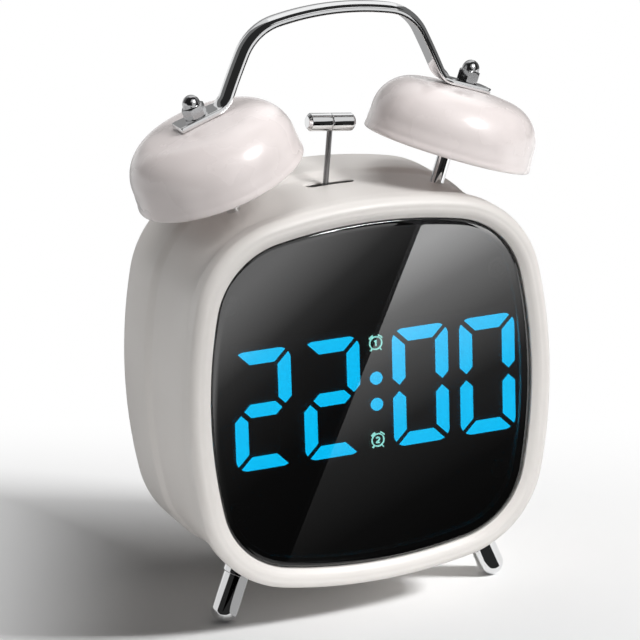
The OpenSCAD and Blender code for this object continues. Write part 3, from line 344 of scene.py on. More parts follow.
def lit_digits():
    """Blue light; mint where x lies in the middle column and the point is well above or below the middle."""
    mat, tree, shader = new_material("segment_lit")
    split = tree.nodes.new("ShaderNodeSeparateXYZ")
    tree.links.new(tree.nodes.new("ShaderNodeTexCoord").outputs["Object"], split.inputs[0])

    def off(value, centre):
        """How far a coordinate lies from a centre, to either side."""
        return maths(tree, "ABSOLUTE", maths(tree, "SUBTRACT", value, centre))

    in_column = maths(tree, "LESS_THAN", off(split.outputs["X"], COLUMN_X), COLUMN_HALF)
    off_middle = maths(tree, "GREATER_THAN", off(split.outputs["Z"], FACE_HEIGHT / 1000.0), COLON_HALF)
    colour = colour_mix(tree, maths(tree, "MULTIPLY", in_column, off_middle), DIGIT_BLUE, SIGN_MINT)
    tree.links.new(colour, shader.inputs["Emission Color"])
    set_plain(shader, Emission_Strength=20.0, Base_Color=(0.02, 0.1, 0.15, 1.0), Roughness=0.5)
    return mat


LENS_SMOKE = smoked_lens()
SEGMENT_LIT = lit_digits()
print("lens and digits", LENS_SMOKE.name, SEGMENT_LIT.name)

# %% [markdown]
# Pieces that are flat or sit inside keep their solids, and only get a finish. A list names the finish
# of every solid, also of those that a smooth surface will stand for later, so none is left bare.

# %% Finishes of the solids
NODE_FINISH = {
    CASE_PLASTIC: ["front_bezel", "case_shell", "rear_cover", "battery_door"],
    LENS_SMOKE: ["lens"],
    TAPE_BLACK: ["lens_tape"],
    DISPLAY_BLACK: ["display_carrier"],
    SEGMENT_LIT: ["lit_segments"],
    SEGMENT_OFF: ["unlit_segments"],
    BOARD_GREEN: ["main_board", "button_board"],
    CHIP_BLACK: ["board_chips", "button_switches"],
    ZINC_STEEL: ["board_screws", "case_screws", "battery_contacts", "power_socket", "post_nuts", "leg_nuts",
                 "pivot_pin", "hammer_bracket", "bracket_screws"],
    CELL_WRAP: ["battery_cells"],
    BUTTON_PLASTIC: ["time_button", "alarm_one_button", "alarm_two_button", "up_button", "down_button"],
    BELL_ENAMEL: ["left_bell", "right_bell"],
    CHROME: ["left_post", "right_post", "handle", "left_leg", "right_leg", "hammer_head"],
    NUT_NICKEL: ["acorn_nuts"],
    ROD_STEEL: ["hammer_rod"],
    FOOT_RUBBER: ["rear_foot"],
    MOTOR_CAN: ["hammer_motor"],
    LEVER_ACETAL: ["hammer_lever", "crank_wheel"],
}


def dress(obj, mat):
    """One finish for the whole of a solid."""
    obj.data.materials.clear()
    obj.data.materials.append(mat)


for mat, names in NODE_FINISH.items():
    for label in names:
        dress(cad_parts[label], mat)
print("dressed", sum(len(names) for names in NODE_FINISH.values()), "of", len(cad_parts))

# %% [markdown]
# ## The case
# The face is a square with bowed sides and round corners: eight circular arcs that meet without a kink.
# A section that is carried round those arcs gives the bezel, the case and the edge of the lens. It could
# be modelled as a box with a subdivision surface, but then the sides would not be true arcs and the lens
# would not follow them. Here each point is an arc's centre plus its radius and the section's distance.

# %% The outline of the face
HALF_W, HALF_H = 46.0, 47.0
SIDE_A, TOP_A, TURN_A = 11.74, 11.09, 67.17
SIDE_R, TOP_R, CORNER_R = 134.53989, 134.53288, 22.0
CORNER_X, CORNER_Y = 21.64578, 22.89859
TOP_CY = HALF_H - TOP_R
SIDE_STEPS, CORNER_STEPS = 26, 30


def face_outline(top_angles=None):
    """Centres, radii and angles of points round the lens opening, arc after arc, without repeats."""
    sides = np.linspace(0.0, 1.0, SIDE_STEPS, endpoint=False)
    turns = np.linspace(0.0, 1.0, CORNER_STEPS, endpoint=False)
    top = 90 - TOP_A + 2 * TOP_A * sides if top_angles is None else top_angles
    arcs = [
        (HALF_W - SIDE_R, 0.0, SIDE_R, -SIDE_A + 2 * SIDE_A * sides),
        (CORNER_X, CORNER_Y, CORNER_R, SIDE_A + TURN_A * turns),
        (0.0, TOP_CY, TOP_R, top),
        (-CORNER_X, CORNER_Y, CORNER_R, 90 + TOP_A + TURN_A * turns),
        (SIDE_R - HALF_W, 0.0, SIDE_R, 180 - SIDE_A + 2 * SIDE_A * sides),
        (-CORNER_X, -CORNER_Y, CORNER_R, 180 + SIDE_A + TURN_A * turns),
        (0.0, -TOP_CY, TOP_R, 270 - TOP_A + 2 * TOP_A * sides),
        (CORNER_X, -CORNER_Y, CORNER_R, 270 + TOP_A + TURN_A * turns),
    ]
    centre_x = np.concatenate([np.full(len(a), x) for x, y, r, a in arcs])
    centre_y = np.concatenate([np.full(len(a), y) for x, y, r, a in arcs])
    radius = np.concatenate([np.full(len(a), r) for x, y, r, a in arcs])
    return centre_x, centre_y, radius, np.radians(np.concatenate([a for x, y, r, a in arcs]))


def carried(outline, section):
    """x, y and depth of a section (distance outside the opening, depth) carried round the outline."""
    cx, cy, r, a = (v[:, None] for v in outline)
    out, depth = section[None, :, 0], section[None, :, 1]
    return cx + (r + out) * np.cos(a), cy + (r + out) * np.sin(a), depth + 0.0 * a


OUTLINE = face_outline()
print("outline of", len(OUTLINE[0]), "points")

# %% [markdown]
# The bezel is a moulded ring: a ledge that the lens lies on, a slope up to a rolled crest, a flank, and
# a small step down to the seam. A soft lip and a soft seam edge catch the light as on the real one. On
# the crest runs a shallow crease, a tenth of a millimetre deep, which parts the front from the rim.

# %% The bezel
CREST_MID, CREST_R = np.array([2.8, 1.8]), 3.0


def creased(points, centre, at, deep, wide):
    """Draws the points of an arc in towards its centre, by a bell curve of their angle, in degrees."""
    ray = points - centre
    angle = np.degrees(np.arctan2(ray[:, 1], ray[:, 0]))
    r = np.linalg.norm(ray, axis=1)
    return centre + ray * (1 - deep / r * np.exp(-((angle - at) / wide) ** 2))[:, None]


bezel_section = np.concatenate([
    soft_corner((-2.6, 4.5), (-2.6, 2.3), (0.0, 2.3), 0.3),
    soft_corner((-2.6, 2.3), (0.0, 2.3), (0.0, 0.1), 0.15),
    soft_corner((0.0, 2.3), (0.0, 0.0985), (1.079, -0.657), 0.3),
    creased(arc(*CREST_MID, CREST_R, -125, 0, 64), CREST_MID, at=-84.0, deep=0.11, wide=11.0),
    np.array([[5.8, 2.6], [5.8, 3.8]]),
    smooth_step((5.8, 5.0), (4.85, 6.9), 9),
    soft_corner((4.85, 6.9), (4.8, 7.2), (2.4, 7.2), 0.12),
    soft_corner((4.8, 7.2), (2.4, 7.2), (2.4, 9.0), 0.1),
    soft_corner((2.4, 7.2), (2.4, 9.0), (0.95, 9.0), 0.3),
    soft_corner((2.4, 9.0), (0.95, 9.0), (0.95, 4.5), 0.3),
    soft_corner((0.95, 9.0), (0.95, 4.5), (-2.6, 4.5), 0.1),
    soft_corner((0.95, 4.5), (-2.6, 4.5), (-2.6, 2.3), 0.3),
])
bezel_grid = on_table(*carried(OUTLINE, bezel_section))
make_piece("bezel_ring", [(bezel_grid, grid_quads(*bezel_grid.shape[:2], True, True))],
           CASE_PLASTIC, "clock", ["front_bezel"])

# %% [markdown]
# The case is the same outline with a longer section: a straight waist, a smooth swell to the rear
# flange, a round rear edge and a recess for the back cover. The hammer comes out through a slot in its
# top. The slot is a true hole: a rectangle of quads is left out of the outer and of the inner surface,
# and rings run from the one rectangle down a rounded edge to the other. A Boolean cut would be quicker,
# but it leaves long thin faces beside the edge, which shade badly on a glossy curve.

# %% The section of the case
WAIST, FLANGE, INSIDE = 4.8, 5.8, 2.6
SEAM, REST, RECESS, REAR = 7.2, 48.3, 50.3, 52.5
SLOT_X, SLOT_DEPTH, SLOT_HALF, SLOT_R, WALL = -0.67994, 25.3, 4.8, 1.95, 2.2
PATCH_HALF, PATCH_DEEP = 9.0, 4.2
PATCH_ROWS, PATCH_COLS, LEAD_ROWS = 24, 12, 9
CROWN_R = TOP_R + WAIST
slot_from, slot_to = np.degrees(np.arccos((SLOT_X + np.array([PATCH_HALF, -PATCH_HALF])) / CROWN_R))
top_angles = np.concatenate([
    np.linspace(90 - TOP_A, slot_from, LEAD_ROWS, endpoint=False),
    np.linspace(slot_from, slot_to, PATCH_ROWS + 1),
    np.linspace(slot_to, 90 + TOP_A, LEAD_ROWS + 1)[1:-1],
])
slot_rows = np.linspace(SLOT_DEPTH - PATCH_DEEP, SLOT_DEPTH + PATCH_DEEP, PATCH_COLS + 1)
outer_front = np.concatenate([
    soft_corner((INSIDE, SEAM), (WAIST, SEAM), (WAIST, 12.0), 0.2), [[WAIST, 12.0], [WAIST, 16.5]]])
inner_front = np.concatenate([
    [[INSIDE, 16.5], [INSIDE, 12.0]], soft_corner((INSIDE, 12.0), (INSIDE, SEAM), (WAIST, SEAM), 0.2)])
case_section = np.concatenate([
    outer_front,
    np.stack([np.full(len(slot_rows), WAIST), slot_rows], -1),
    smooth_step((WAIST, 30.5), (FLANGE, 35.0), 14),
    [[FLANGE, 40.0], [FLANGE, 45.0]],
    arc(FLANGE - 3.0, REAR - 3.0, 3.0, 0, 90, 14),
    soft_corner((2.8, REAR), (1.2, REAR), (1.2, RECESS), 0.25),
    soft_corner((1.2, REAR), (1.2, RECESS), (-1.5, RECESS), 0.1),
    soft_corner((1.2, RECESS), (-1.5, RECESS), (-1.5, REST), 0.2),
    soft_corner((-1.5, RECESS), (-1.5, REST), (INSIDE, REST), 0.2),
    soft_corner((-1.5, REST), (INSIDE, REST), (INSIDE, 40.0), 0.4),
    np.stack([np.full(len(slot_rows), INSIDE), slot_rows[::-1]], -1),
    inner_front,
])
case_outline = face_outline(top_angles)
case_xyd = np.broadcast_arrays(*carried(case_outline, case_section))
case_grid = on_table(*case_xyd)
print("the case's grid is", case_grid.shape[:2])

# %% The slot
rows, cols = case_grid.shape[:2]
row_0 = SIDE_STEPS + CORNER_STEPS + LEAD_ROWS
row_1 = row_0 + PATCH_ROWS
out_0 = len(outer_front)
out_1 = out_0 + PATCH_COLS
in_1 = cols - len(inner_front) - 1
in_0 = in_1 - PATCH_COLS
EDGE_ROUND, DISH_WIDE, DISH_DEEP, LEDGE, UNDERCUT = 0.3, 1.8, 0.25, 0.1, 1.4
case_quads = grid_quads(rows, cols, True, True).reshape(rows, cols, 4)
keep = np.ones((rows, cols), bool)
keep[row_0:row_1, out_0:out_1] = False
keep[row_0:row_1, in_0:in_1] = False


def rim(first, last):
    """Indices round a rectangle of the grid: along its columns, its last row, back, and its first row."""
    across = np.arange(PATCH_COLS) * np.sign(last - first)
    along = np.arange(PATCH_ROWS)
    r = np.concatenate([np.full(PATCH_COLS, row_0), row_0 + along, np.full(PATCH_COLS, row_1), row_1 - along])
    c = np.concatenate([first + across, np.full(PATCH_ROWS, last), last - across, np.full(PATCH_ROWS, first)])
    return r, c


def slot_rings(x, depth):
    """From the rectangle's points to a slot with round ends: an edge that is crisp in front and dished
    behind, then undercut, so that the wall is thin at the edge and one looks into the dark case.
    Each point keeps its nearest place on the slot's middle line and moves to a radius from there."""
    mid = np.clip(x, SLOT_X - SLOT_HALF, SLOT_X + SLOT_HALF)
    off = np.stack([x - mid, depth - SLOT_DEPTH], -1)
    off /= np.linalg.norm(off, axis=-1, keepdims=True)
    behind = np.clip(off[:, 1], 0.0, 1.0)[None]
    same = np.zeros_like(behind)
    turn = np.linspace(0.0, np.pi / 2, 9)[:, None]
    flare, deep = EDGE_ROUND + DISH_WIDE * behind, EDGE_ROUND + DISH_DEEP * behind
    reach = SLOT_R + np.concatenate([flare * (1 - np.sin(turn)), same, same + UNDERCUT])
    drop = np.concatenate([deep * (1 - np.cos(turn)), deep + LEDGE, same + WALL])
    px, pd = mid + reach * off[:, 0], SLOT_DEPTH + reach * off[:, 1]
    return on_table(px, TOP_CY + np.sqrt(CROWN_R ** 2 - px ** 2) - drop, pd)


outer_rim, inner_rim = rim(out_0, out_1), rim(in_1, in_0)
rings = slot_rings(case_xyd[0][outer_rim], case_xyd[2][outer_rim])
ring_ids = rows * cols + np.arange(rings.shape[0] * rings.shape[1]).reshape(rings.shape[:2])
loops = np.concatenate([[outer_rim[0] * cols + outer_rim[1]], ring_ids, [inner_rim[0] * cols + inner_rim[1]]])
nxt = np.roll(loops, -1, axis=1)
ring_quads = np.stack([loops[:-1], nxt[:-1], nxt[1:], loops[1:]], -1).reshape(-1, 4)
case_points = np.concatenate([case_grid.reshape(-1, 3), rings.reshape(-1, 3)])
make_piece("case_tube", [(case_points, np.concatenate([case_quads[keep], ring_quads]))],
           CASE_PLASTIC, "clock", ["case_shell"])

# %% [markdown]
# The lens is a flat plate with a rounded edge. Its front is the outline drawn in towards its middle,
# ring by ring, which stays flat, then a quarter of an ellipse, the edge and the same rings on the back.
# A Bevel modifier could round the edge too, but an ellipse is wider than deep, as on the real lens.

# %% The lens
def drawn_in(outline, out, shares, depth):
    """The outline at one distance, scaled towards its middle by each share, at one depth."""
    x, y, _ = carried(outline, np.array([[out, depth]]))
    return x * shares[None], y * shares[None], np.full((len(x), len(shares)), depth)


LENS_THICK, LENS_EDGE, FLAT_EDGE = 2.0, -0.2, -2.2
quarter = np.linspace(0.0, np.pi / 2, 16)
lens_edge = np.concatenate([
    np.stack([-1.9 + 1.7 * np.sin(quarter), 0.9 - 0.9 * np.cos(quarter)], -1),
    soft_corner((LENS_EDGE, 0.9), (LENS_EDGE, LENS_THICK), (-3.0, LENS_THICK), 0.12, 4),
])
shares = np.linspace(0.0, 1.0, 7)
lens_parts = [drawn_in(OUTLINE, FLAT_EDGE, shares, 0.0), carried(OUTLINE, lens_edge),
              drawn_in(OUTLINE, FLAT_EDGE, shares[::-1], LENS_THICK)]
lens_grid = on_table(*(
    np.concatenate([np.broadcast_to(part[i], part[2].shape) for part in lens_parts], 1) for i in range(3)))
lens = make_piece("smoked_lens", [(lens_grid, grid_quads(*lens_grid.shape[:2], True, False))],
                  LENS_SMOKE, "clock", ["lens"])

# %% [markdown]
# The lit digits are thin plates behind the lens. A bar of a digit has mitred ends, so that neighbours
# meet along a slant with an even gap, and the outer corners are round. All seven bars of a digit are three
# outlines and their mirror images. The small alarm signs are lines of one width along short paths. Text
# in a font with bars would need the same care, and its gaps could not be set.

# %% The digits and the signs
LIT_FRONT, LIT_BACK = 2.6, 3.0
DIGIT_X, DIGIT_Y = (-30.7, -11.2, 14.3, 33.8), -0.1
BARS_OF = {2: (0, 1, 3, 4, 6), 0: (0, 1, 2, 3, 4, 5)}


def digit_bars(w, h, stroke, gap, r):
    """Seven outlines from a digit's width, height, stroke, gap and corner radius. A mitre runs at half a
    right angle, so each end is shifted by the gap over the square root of two, and the corner's arc stops
    short of it."""
    m, a = gap / math.sqrt(2), math.degrees(math.asin(gap / 2 / r))
    inner, half = w / 2 - stroke, stroke / 2
    end = np.concatenate([arc(w / 2 - r, h / 2 - r, r, 90, 45 + a, 9), [[inner - m, h / 2 - stroke]]])
    top = np.concatenate([end, (end * (-1, 1))[::-1]])
    side = np.concatenate([
        arc(w / 2 - r, h / 2 - r, r, 0, 45 - a, 9),
        [[inner, h / 2 - stroke - m], [inner, half + m], [inner + half, m], [w / 2, half + m]]])
    tip = w / 2 - half - m
    middle = np.array([[-tip, 0.0], [half - tip, half], [tip - half, half],
                       [tip, 0.0], [tip - half, -half], [half - tip, -half]])
    return [top, side, side * (1, -1), top * (1, -1), side * (-1, -1), side * (-1, 1), middle]


def thin_plate(outline):
    """A convex outline at two depths, each closed to the mean of its points."""
    mid = np.broadcast_to(outline.mean(0), outline.shape)
    ring = np.stack([mid, outline, outline, mid], 1)
    grid = on_table(ring[..., 0], ring[..., 1], np.array([LIT_FRONT, LIT_FRONT, LIT_BACK, LIT_BACK]))
    return grid, grid_quads(*grid.shape[:2], True, False)


def thin_line(path, width, closed=False):
    """A line of one width: every point moves half the width to both sides, square to the way from its
    last neighbour to its next. An open line is closed at its ends."""
    path = np.asarray(path, float)
    ahead = np.roll(path, -1, 0) - np.roll(path, 1, 0)
    if not closed:
        ahead[[0, -1]] = path[[1, -1]] - path[[0, -2]]
    side = ahead[:, ::-1] * (-1, 1) * width / 2 / np.linalg.norm(ahead, axis=1, keepdims=True)
    ring = np.stack([path + side, path - side, path - side, path + side], 1)
    depth = np.broadcast_to([LIT_FRONT, LIT_FRONT, LIT_BACK, LIT_BACK], ring.shape[:2])
    if not closed:
        ends = np.repeat(path[[0, -1], None], 4, 1)
        ring = np.concatenate([ends[:1], ring, ends[1:]])
        depth = np.pad(depth, ((1, 1), (0, 0)), constant_values=(LIT_FRONT + LIT_BACK) / 2)
    grid = on_table(ring[..., 0], ring[..., 1], depth)
    return grid, grid_quads(*grid.shape[:2], closed, True)


def alarm_sign(middle, number):
    """A ring with two bell caps, two feet and a number inside, as lines round its middle."""
    ring = thin_line(middle + arc(0.0, 0.0, 1.72, 0, 360, 49)[:-1], SIGN_LINE, True)
    caps = [thin_line(middle + arc(0.0, 0.0, 2.22, start, start + 36, 9), CAP_LINE) for start in (34, 110)]
    feet = [thin_line(middle + [[x, -1.45], [x * 1.42, -2.05]], FOOT_LINE) for x in (-1.1, 1.1)]
    return [ring, *caps, *feet, *(thin_line(middle + line, SIGN_LINE) for line in number)]


SIGN_LINE, CAP_LINE, FOOT_LINE = 0.27, 0.34, 0.3
ONE = [np.array([[-0.4, 0.35], [0.05, 0.75], [0.05, -0.8]])]
TWO = [np.concatenate([arc(0.0, 0.32, 0.45, 165, -38, 12), [[-0.45, -0.7]]]),
       np.array([[-0.55, -0.72], [0.52, -0.72]])]
DOT_X, DOT_R = 1.5, 1.72
bars = digit_bars(w=16.0, h=32.5, stroke=3.55, gap=1.35, r=3.2)
lit = [thin_plate(bars[k] + (x, DIGIT_Y)) for x, n in zip(DIGIT_X, (2, 2, 0, 0)) for k in BARS_OF[n]]
lit += [thin_plate(arc(DOT_X, y, DOT_R, 0, 360, 49)[:-1]) for y in (3.6, -3.65)]
lit += alarm_sign(np.array([1.6, 13.3]), ONE) + alarm_sign(np.array([1.55, -13.6]), TWO)
make_piece("lit_face", lit, SEGMENT_LIT, "clock", ["lit_segments"])

# %% [markdown]
# ## Turned and spun pieces
# Bells are spun from sheet, and posts, legs and the hammer are turned from bar, so all of them are a
# profile of radius against height, turned about an axis. One function does that for any axis in the
# face's frame. The bells keep a true wall, because one looks up under their rims.

# %% Turning a profile about an axis
def turned(profile, origin, axis, steps=96):
    """Each profile point (radius, height) goes round the axis: origin + height * axis + radius * circle."""
    origin, axis = np.asarray(origin, float), np.asarray(axis, float)
    axis = axis / np.linalg.norm(axis)
    side = np.cross(axis, (0.0, 0.0, 1.0) if abs(axis[2]) < 0.9 else (1.0, 0.0, 0.0))
    side /= np.linalg.norm(side)
    other = np.cross(axis, side)
    a = np.linspace(0.0, 2 * np.pi, steps, endpoint=False)[:, None, None]
    r, h = profile[None, :, :1], profile[None, :, 1:]
    p = origin + h * axis + r * (np.cos(a) * side + np.sin(a) * other)
    return on_table(p[..., 0], p[..., 1], p[..., 2])


def turned_shell(profile, origin, axis, steps=96, closed=False):
    """A turned surface as points and quads; a closed profile is a ring, an open one ends on the axis."""
    grid = turned(np.asarray(profile, float), origin, axis, steps)
    return grid, grid_quads(*grid.shape[:2], True, closed)


rod = turned(np.array([[1.0, 0.0], [1.0, 5.0]]), (0, 0, 0), (0, 1, 0))
print("one turn of a rod has", rod.shape, "points")

# %% The bells
BELL_TILT = math.radians(19.6)
BELL_X, BELL_Y, BELL_DEPTH = 32.28735, 57.38251, 22.5
BELL_TALL, CROWN_BOW, HOLE_R, SHEET = 17.4, 90.0, 1.5, 1.2
SHOULDER_MID, SHOULDER_R, SHOULDER_TO = (12.1, 5.974), 10.5, 81.2456
SIDES = (("left", -1), ("right", 1))


def bell_section():
    """Outside: a flat crown, a round shoulder and a straight wall that flares to the lip.
    Inside: the same shapes, in by the sheet's thickness."""
    hole_a = math.degrees(math.acos(HOLE_R / CROWN_BOW))
    crown_y = BELL_TALL - CROWN_BOW
    return np.concatenate([
        arc(0.0, crown_y, CROWN_BOW, hole_a, SHOULDER_TO, 10),
        arc(*SHOULDER_MID, SHOULDER_R, SHOULDER_TO, 0.0, 26)[1:],
        smooth_step((22.6, 5.4), (22.78, 2.4), 8),
        smooth_step((22.78, 2.2), (23.0, 0.7), 6),
        arc(22.45, 0.55, 0.55, 0, -180, 9),
        [[21.6, 1.2], [21.45, 2.6], [21.4, 4.6]],
        arc(*SHOULDER_MID, SHOULDER_R - SHEET, 0.0, SHOULDER_TO, 22),
        arc(0.0, crown_y, CROWN_BOW - SHEET, SHOULDER_TO, hole_a, 8)[1:],
    ])


def bell_axis(side):
    """Foot and direction of a bell's axis, which leans outwards by the bell's tilt."""
    return (side * BELL_X, BELL_Y, BELL_DEPTH), (side * math.sin(BELL_TILT), math.cos(BELL_TILT), 0.0)


for name, side in SIDES:
    bell = turned_shell(bell_section(), *bell_axis(side), 144, True)
    make_piece(name + "_gong", [bell], BELL_ENAMEL, "clock", [name + "_bell"])

# %% [markdown]
# The posts are plain chromed bars with a stud at each end. The stud passes the crown, the handle's tab
# and the acorn nut, and a second one goes into the case, where a nut holds it. A cylinder would do, but
# the turned profile also gives the small chamfers, which catch the light under the bells.

# %% The posts
POST_R, STUD_R = 1.9, 1.45
post_profile = np.concatenate([
    [[0.0, -19.7], [1.25, -19.7], [STUD_R, -19.5], [STUD_R, -12.6]],
    soft_corner((STUD_R, -12.55), (POST_R, -12.55), (POST_R, 10.0), 0.15),
    soft_corner((POST_R, 10.0), (POST_R, 16.15), (STUD_R, 16.15), 0.15),
    [[STUD_R, 16.15], [STUD_R, 21.7], [1.3, 21.9], [0.0, 21.9]],
])
for name, side in SIDES:
    post = turned_shell(post_profile, *bell_axis(side), 48)
    make_piece(name + "_bell_post", [post], CHROME, "clock", [name + "_post"])

# %% [markdown]
# ## The handle
# The handle is a bar with a round top, bent over the bells, with its ends pressed flat and drilled. It is
# a section carried along a path in one plane: tab, bend, nearly straight side, corner and a slightly
# bowed grip, then the same back down. Each arc starts where the last one ends and in the same direction,
# so only radii and angles are given and the centres follow from them. A curve with a bevel object could
# not flatten towards its ends. The drilled holes are left to the solid, because stud and nut fill them.

# %% The path of the handle
TAB_AT, TAB_IN, TAB_OUT = np.array([38.12420, 73.77430]), 5.4, 6.0
BEND_R, SIDE_LONG_R, GRIP_CORNER_R = 6.6, 200.0, 12.5
SIDE_FROM, SIDE_TO, GRIP_FROM = math.radians(22.0), math.radians(25.3), math.radians(78.0)


def outward(angle):
    """Directions at angles from the level, in the plane of the handle."""
    return np.stack([np.cos(angle), np.sin(angle)], -1)


def handle_path():
    """Underside of the right half from the tab's end to the top, then mirrored.
    Returns points, the outward direction of the round side, and the distance along the bar."""
    tab_up, along = outward(math.pi / 2 - BELL_TILT), -outward(-BELL_TILT)
    bend_mid = TAB_AT + TAB_IN * along + BEND_R * tab_up
    side_mid = bend_mid - (SIDE_LONG_R + BEND_R) * outward(SIDE_FROM)
    corner_mid = side_mid + (SIDE_LONG_R - GRIP_CORNER_R) * outward(SIDE_TO)
    grip_r = GRIP_CORNER_R + corner_mid[0] / math.cos(GRIP_FROM)
    grip_mid = corner_mid - (grip_r - GRIP_CORNER_R) * outward(GRIP_FROM)
    tab_s = np.concatenate([[-TAB_OUT, -TAB_OUT + 0.05, -TAB_OUT + 0.2, -TAB_OUT + 0.45],
                            np.linspace(-TAB_OUT + 0.9, TAB_IN, 30, endpoint=False)])
    points, ups = [TAB_AT + tab_s[:, None] * along], [np.broadcast_to(tab_up, (len(tab_s), 2))]
    bend = np.linspace(math.pi / 2 - BELL_TILT, SIDE_FROM, 26, endpoint=False)
    points.append(bend_mid - BEND_R * outward(bend))
    ups.append(outward(bend))
    for mid, r, start, end, steps in ((side_mid, SIDE_LONG_R, SIDE_FROM, SIDE_TO, 14),
                                      (corner_mid, GRIP_CORNER_R, SIDE_TO, GRIP_FROM, 30),
                                      (grip_mid, grip_r, GRIP_FROM, math.pi / 2, 21)):
        turn = np.linspace(start, end, steps, endpoint=end == math.pi / 2)
        points.append(mid + r * outward(turn))
        ups.append(outward(turn))
    points, ups = np.concatenate(points), np.concatenate(ups)
    flip = np.array([-1.0, 1.0])
    points = np.concatenate([points, (points * flip)[-2::-1]])
    ups = np.concatenate([ups, (ups * flip)[-2::-1]])
    steps = np.linalg.norm(np.diff(points, axis=0), axis=1)
    return points, ups, np.concatenate([[0.0], np.cumsum(steps)])


path, path_up, path_s = handle_path()
print("the bar is", round(path_s[-1], 1), "mm long")

# %% The sections of the handle
BAR_W, BAR_T, TAB_W, TAB_T, BAR_EDGE = 6.6, 2.6, 7.2, 1.5, 0.3
PRESS_FROM, PRESS_LONG, END_LONG, END_CUT, END_THICK = TAB_OUT + TAB_IN - 0.6, 3.6, 0.45, 0.35, 0.75


def bar_loop(width, thick, crown, edge, steps=16):
    """A flat underside, soft edges and a top that is a circle's arc of height crown over its sides."""
    half = width / 2
    bow = (half ** 2 + crown ** 2) / (2 * crown)
    w = np.linspace(-half + edge, half - edge, steps)
    top = np.sqrt(bow ** 2 - w ** 2) - bow + thick
    side = top[0]
    return np.concatenate([
        np.stack([w[::-1], np.zeros(steps)], -1),
        [[-half + edge * 0.3, edge * 0.12], [-half, edge * 0.6], [-half, max(side - edge * 0.7, edge * 0.7)],
         [-half + edge * 0.4, side - edge * 0.15]],
        np.stack([w, top], -1),
        [[half - edge * 0.4, side - edge * 0.15], [half, max(side - edge * 0.7, edge * 0.7)],
         [half, edge * 0.6], [half - edge * 0.3, edge * 0.12]],
    ])


bar_shape = bar_loop(BAR_W, BAR_T, 0.65 * BAR_T, BAR_EDGE)
tab_shape = bar_loop(TAB_W, TAB_T, 0.05, BAR_EDGE)
from_end = np.minimum(path_s, path_s[-1] - path_s)
press = np.clip((from_end - PRESS_FROM) / PRESS_LONG, 0.0, 1.0)
press = (press * press * (3 - 2 * press))[:, None, None]
loop = tab_shape * (1 - press) + bar_shape * press
close = np.clip(from_end / END_LONG, 0.0, 1.0)
close = np.sqrt(np.clip(1 - (1 - close) ** 2, 0.0, 1.0))[:, None]
mid_t = TAB_T / 2
width_at = loop[..., 0] - np.sign(loop[..., 0]) * np.minimum(np.abs(loop[..., 0]), END_CUT) * (1 - close)
thick_at = mid_t + (loop[..., 1] - mid_t) * (END_THICK + (1 - END_THICK) * close)
first_last = (from_end < 1e-6)[:, None]
width_at = np.where(first_last, 0.0, width_at)
thick_at = np.where(first_last, mid_t, thick_at)
handle_xy = path[:, None, :] + thick_at[..., None] * path_up[:, None, :]
handle_grid = on_table(handle_xy[..., 0], handle_xy[..., 1], BELL_DEPTH + width_at)
handle = make_piece("carry_handle", [(handle_grid, grid_quads(*handle_grid.shape[:2], False, True))],
                    CHROME, "clock", ["handle"], sharp=50)

# %% [markdown]
# An acorn nut is a hexagon with a dome on it. Its radius at an angle and a height is the smaller of the
# hexagon's and of a cone that chamfers its corners, and above it the dome takes over. That is the way a
# lathe cuts the real one: the bar is hexagonal and the tool only touches what stands out. The nuts are
# nickel plated, which is darker than the handle's chrome.

# %% The acorn nuts
NUT_FLAT, NUT_TALL, NUT_BASE, DOME_R, DOME_TALL = 2.75, 3.0, 18.9, 2.35, 2.45


def acorn_nut(side, steps=96):
    """Radius min(hexagon, chamfer cones) up to the hexagon's height, then a fillet into the dome."""
    a = np.linspace(0.0, 2 * np.pi, steps, endpoint=False)[:, None]
    hexagon = NUT_FLAT / np.cos((a % (np.pi / 3)) - np.pi / 6)
    h = np.array([0.0, 0.0, 0.06, 0.2, 0.4, 0.8, 1.4, 2.0, 2.3, 2.5, 2.7, 2.85, 2.95, NUT_TALL])[None]
    cone = np.minimum(2.72 + 1.4 * np.minimum(h, NUT_TALL - h) ** 0.75, 3.3)
    body = np.minimum(hexagon, cone) * (np.arange(h.shape[1]) > 0)
    fillet = arc(2.65, 3.3, 0.3, 270, 180, 7)
    dome = arc(0.0, 0.0, 1.0, 0, 90, 18) * (DOME_R, DOME_TALL) + (0.0, 3.5)
    cap = np.concatenate([fillet, [[DOME_R, 3.4]], dome])
    r = np.concatenate([body, np.broadcast_to(cap[:, 0], (steps, len(cap)))], 1)
    h = np.concatenate([np.broadcast_to(h, body.shape), np.broadcast_to(cap[:, 1], (steps, len(cap)))], 1)
    foot, axis = (np.array(v[:2]) for v in bell_axis(side))
    out = axis[::-1] * (1, -1)
    xy = foot + NUT_BASE * axis + h[..., None] * axis + (r * np.cos(a))[..., None] * out
    grid = on_table(xy[..., 0], xy[..., 1], BELL_DEPTH + r * np.sin(a))
    return grid, grid_quads(*grid.shape[:2], True, False)


make_piece("dome_nuts", [acorn_nut(-1), acorn_nut(1)],
           NUT_NICKEL, "clock", ["acorn_nuts"], sharp=28)

# %% [markdown]
# ## Legs, hammer and buttons
# The legs are turned bars with a collar, splayed outwards. Their round tips are ground flat where they
# stand, so the points below the table are lifted to it. Cutting the tip off with a plane would do the
# same, but would leave a face of many corners.

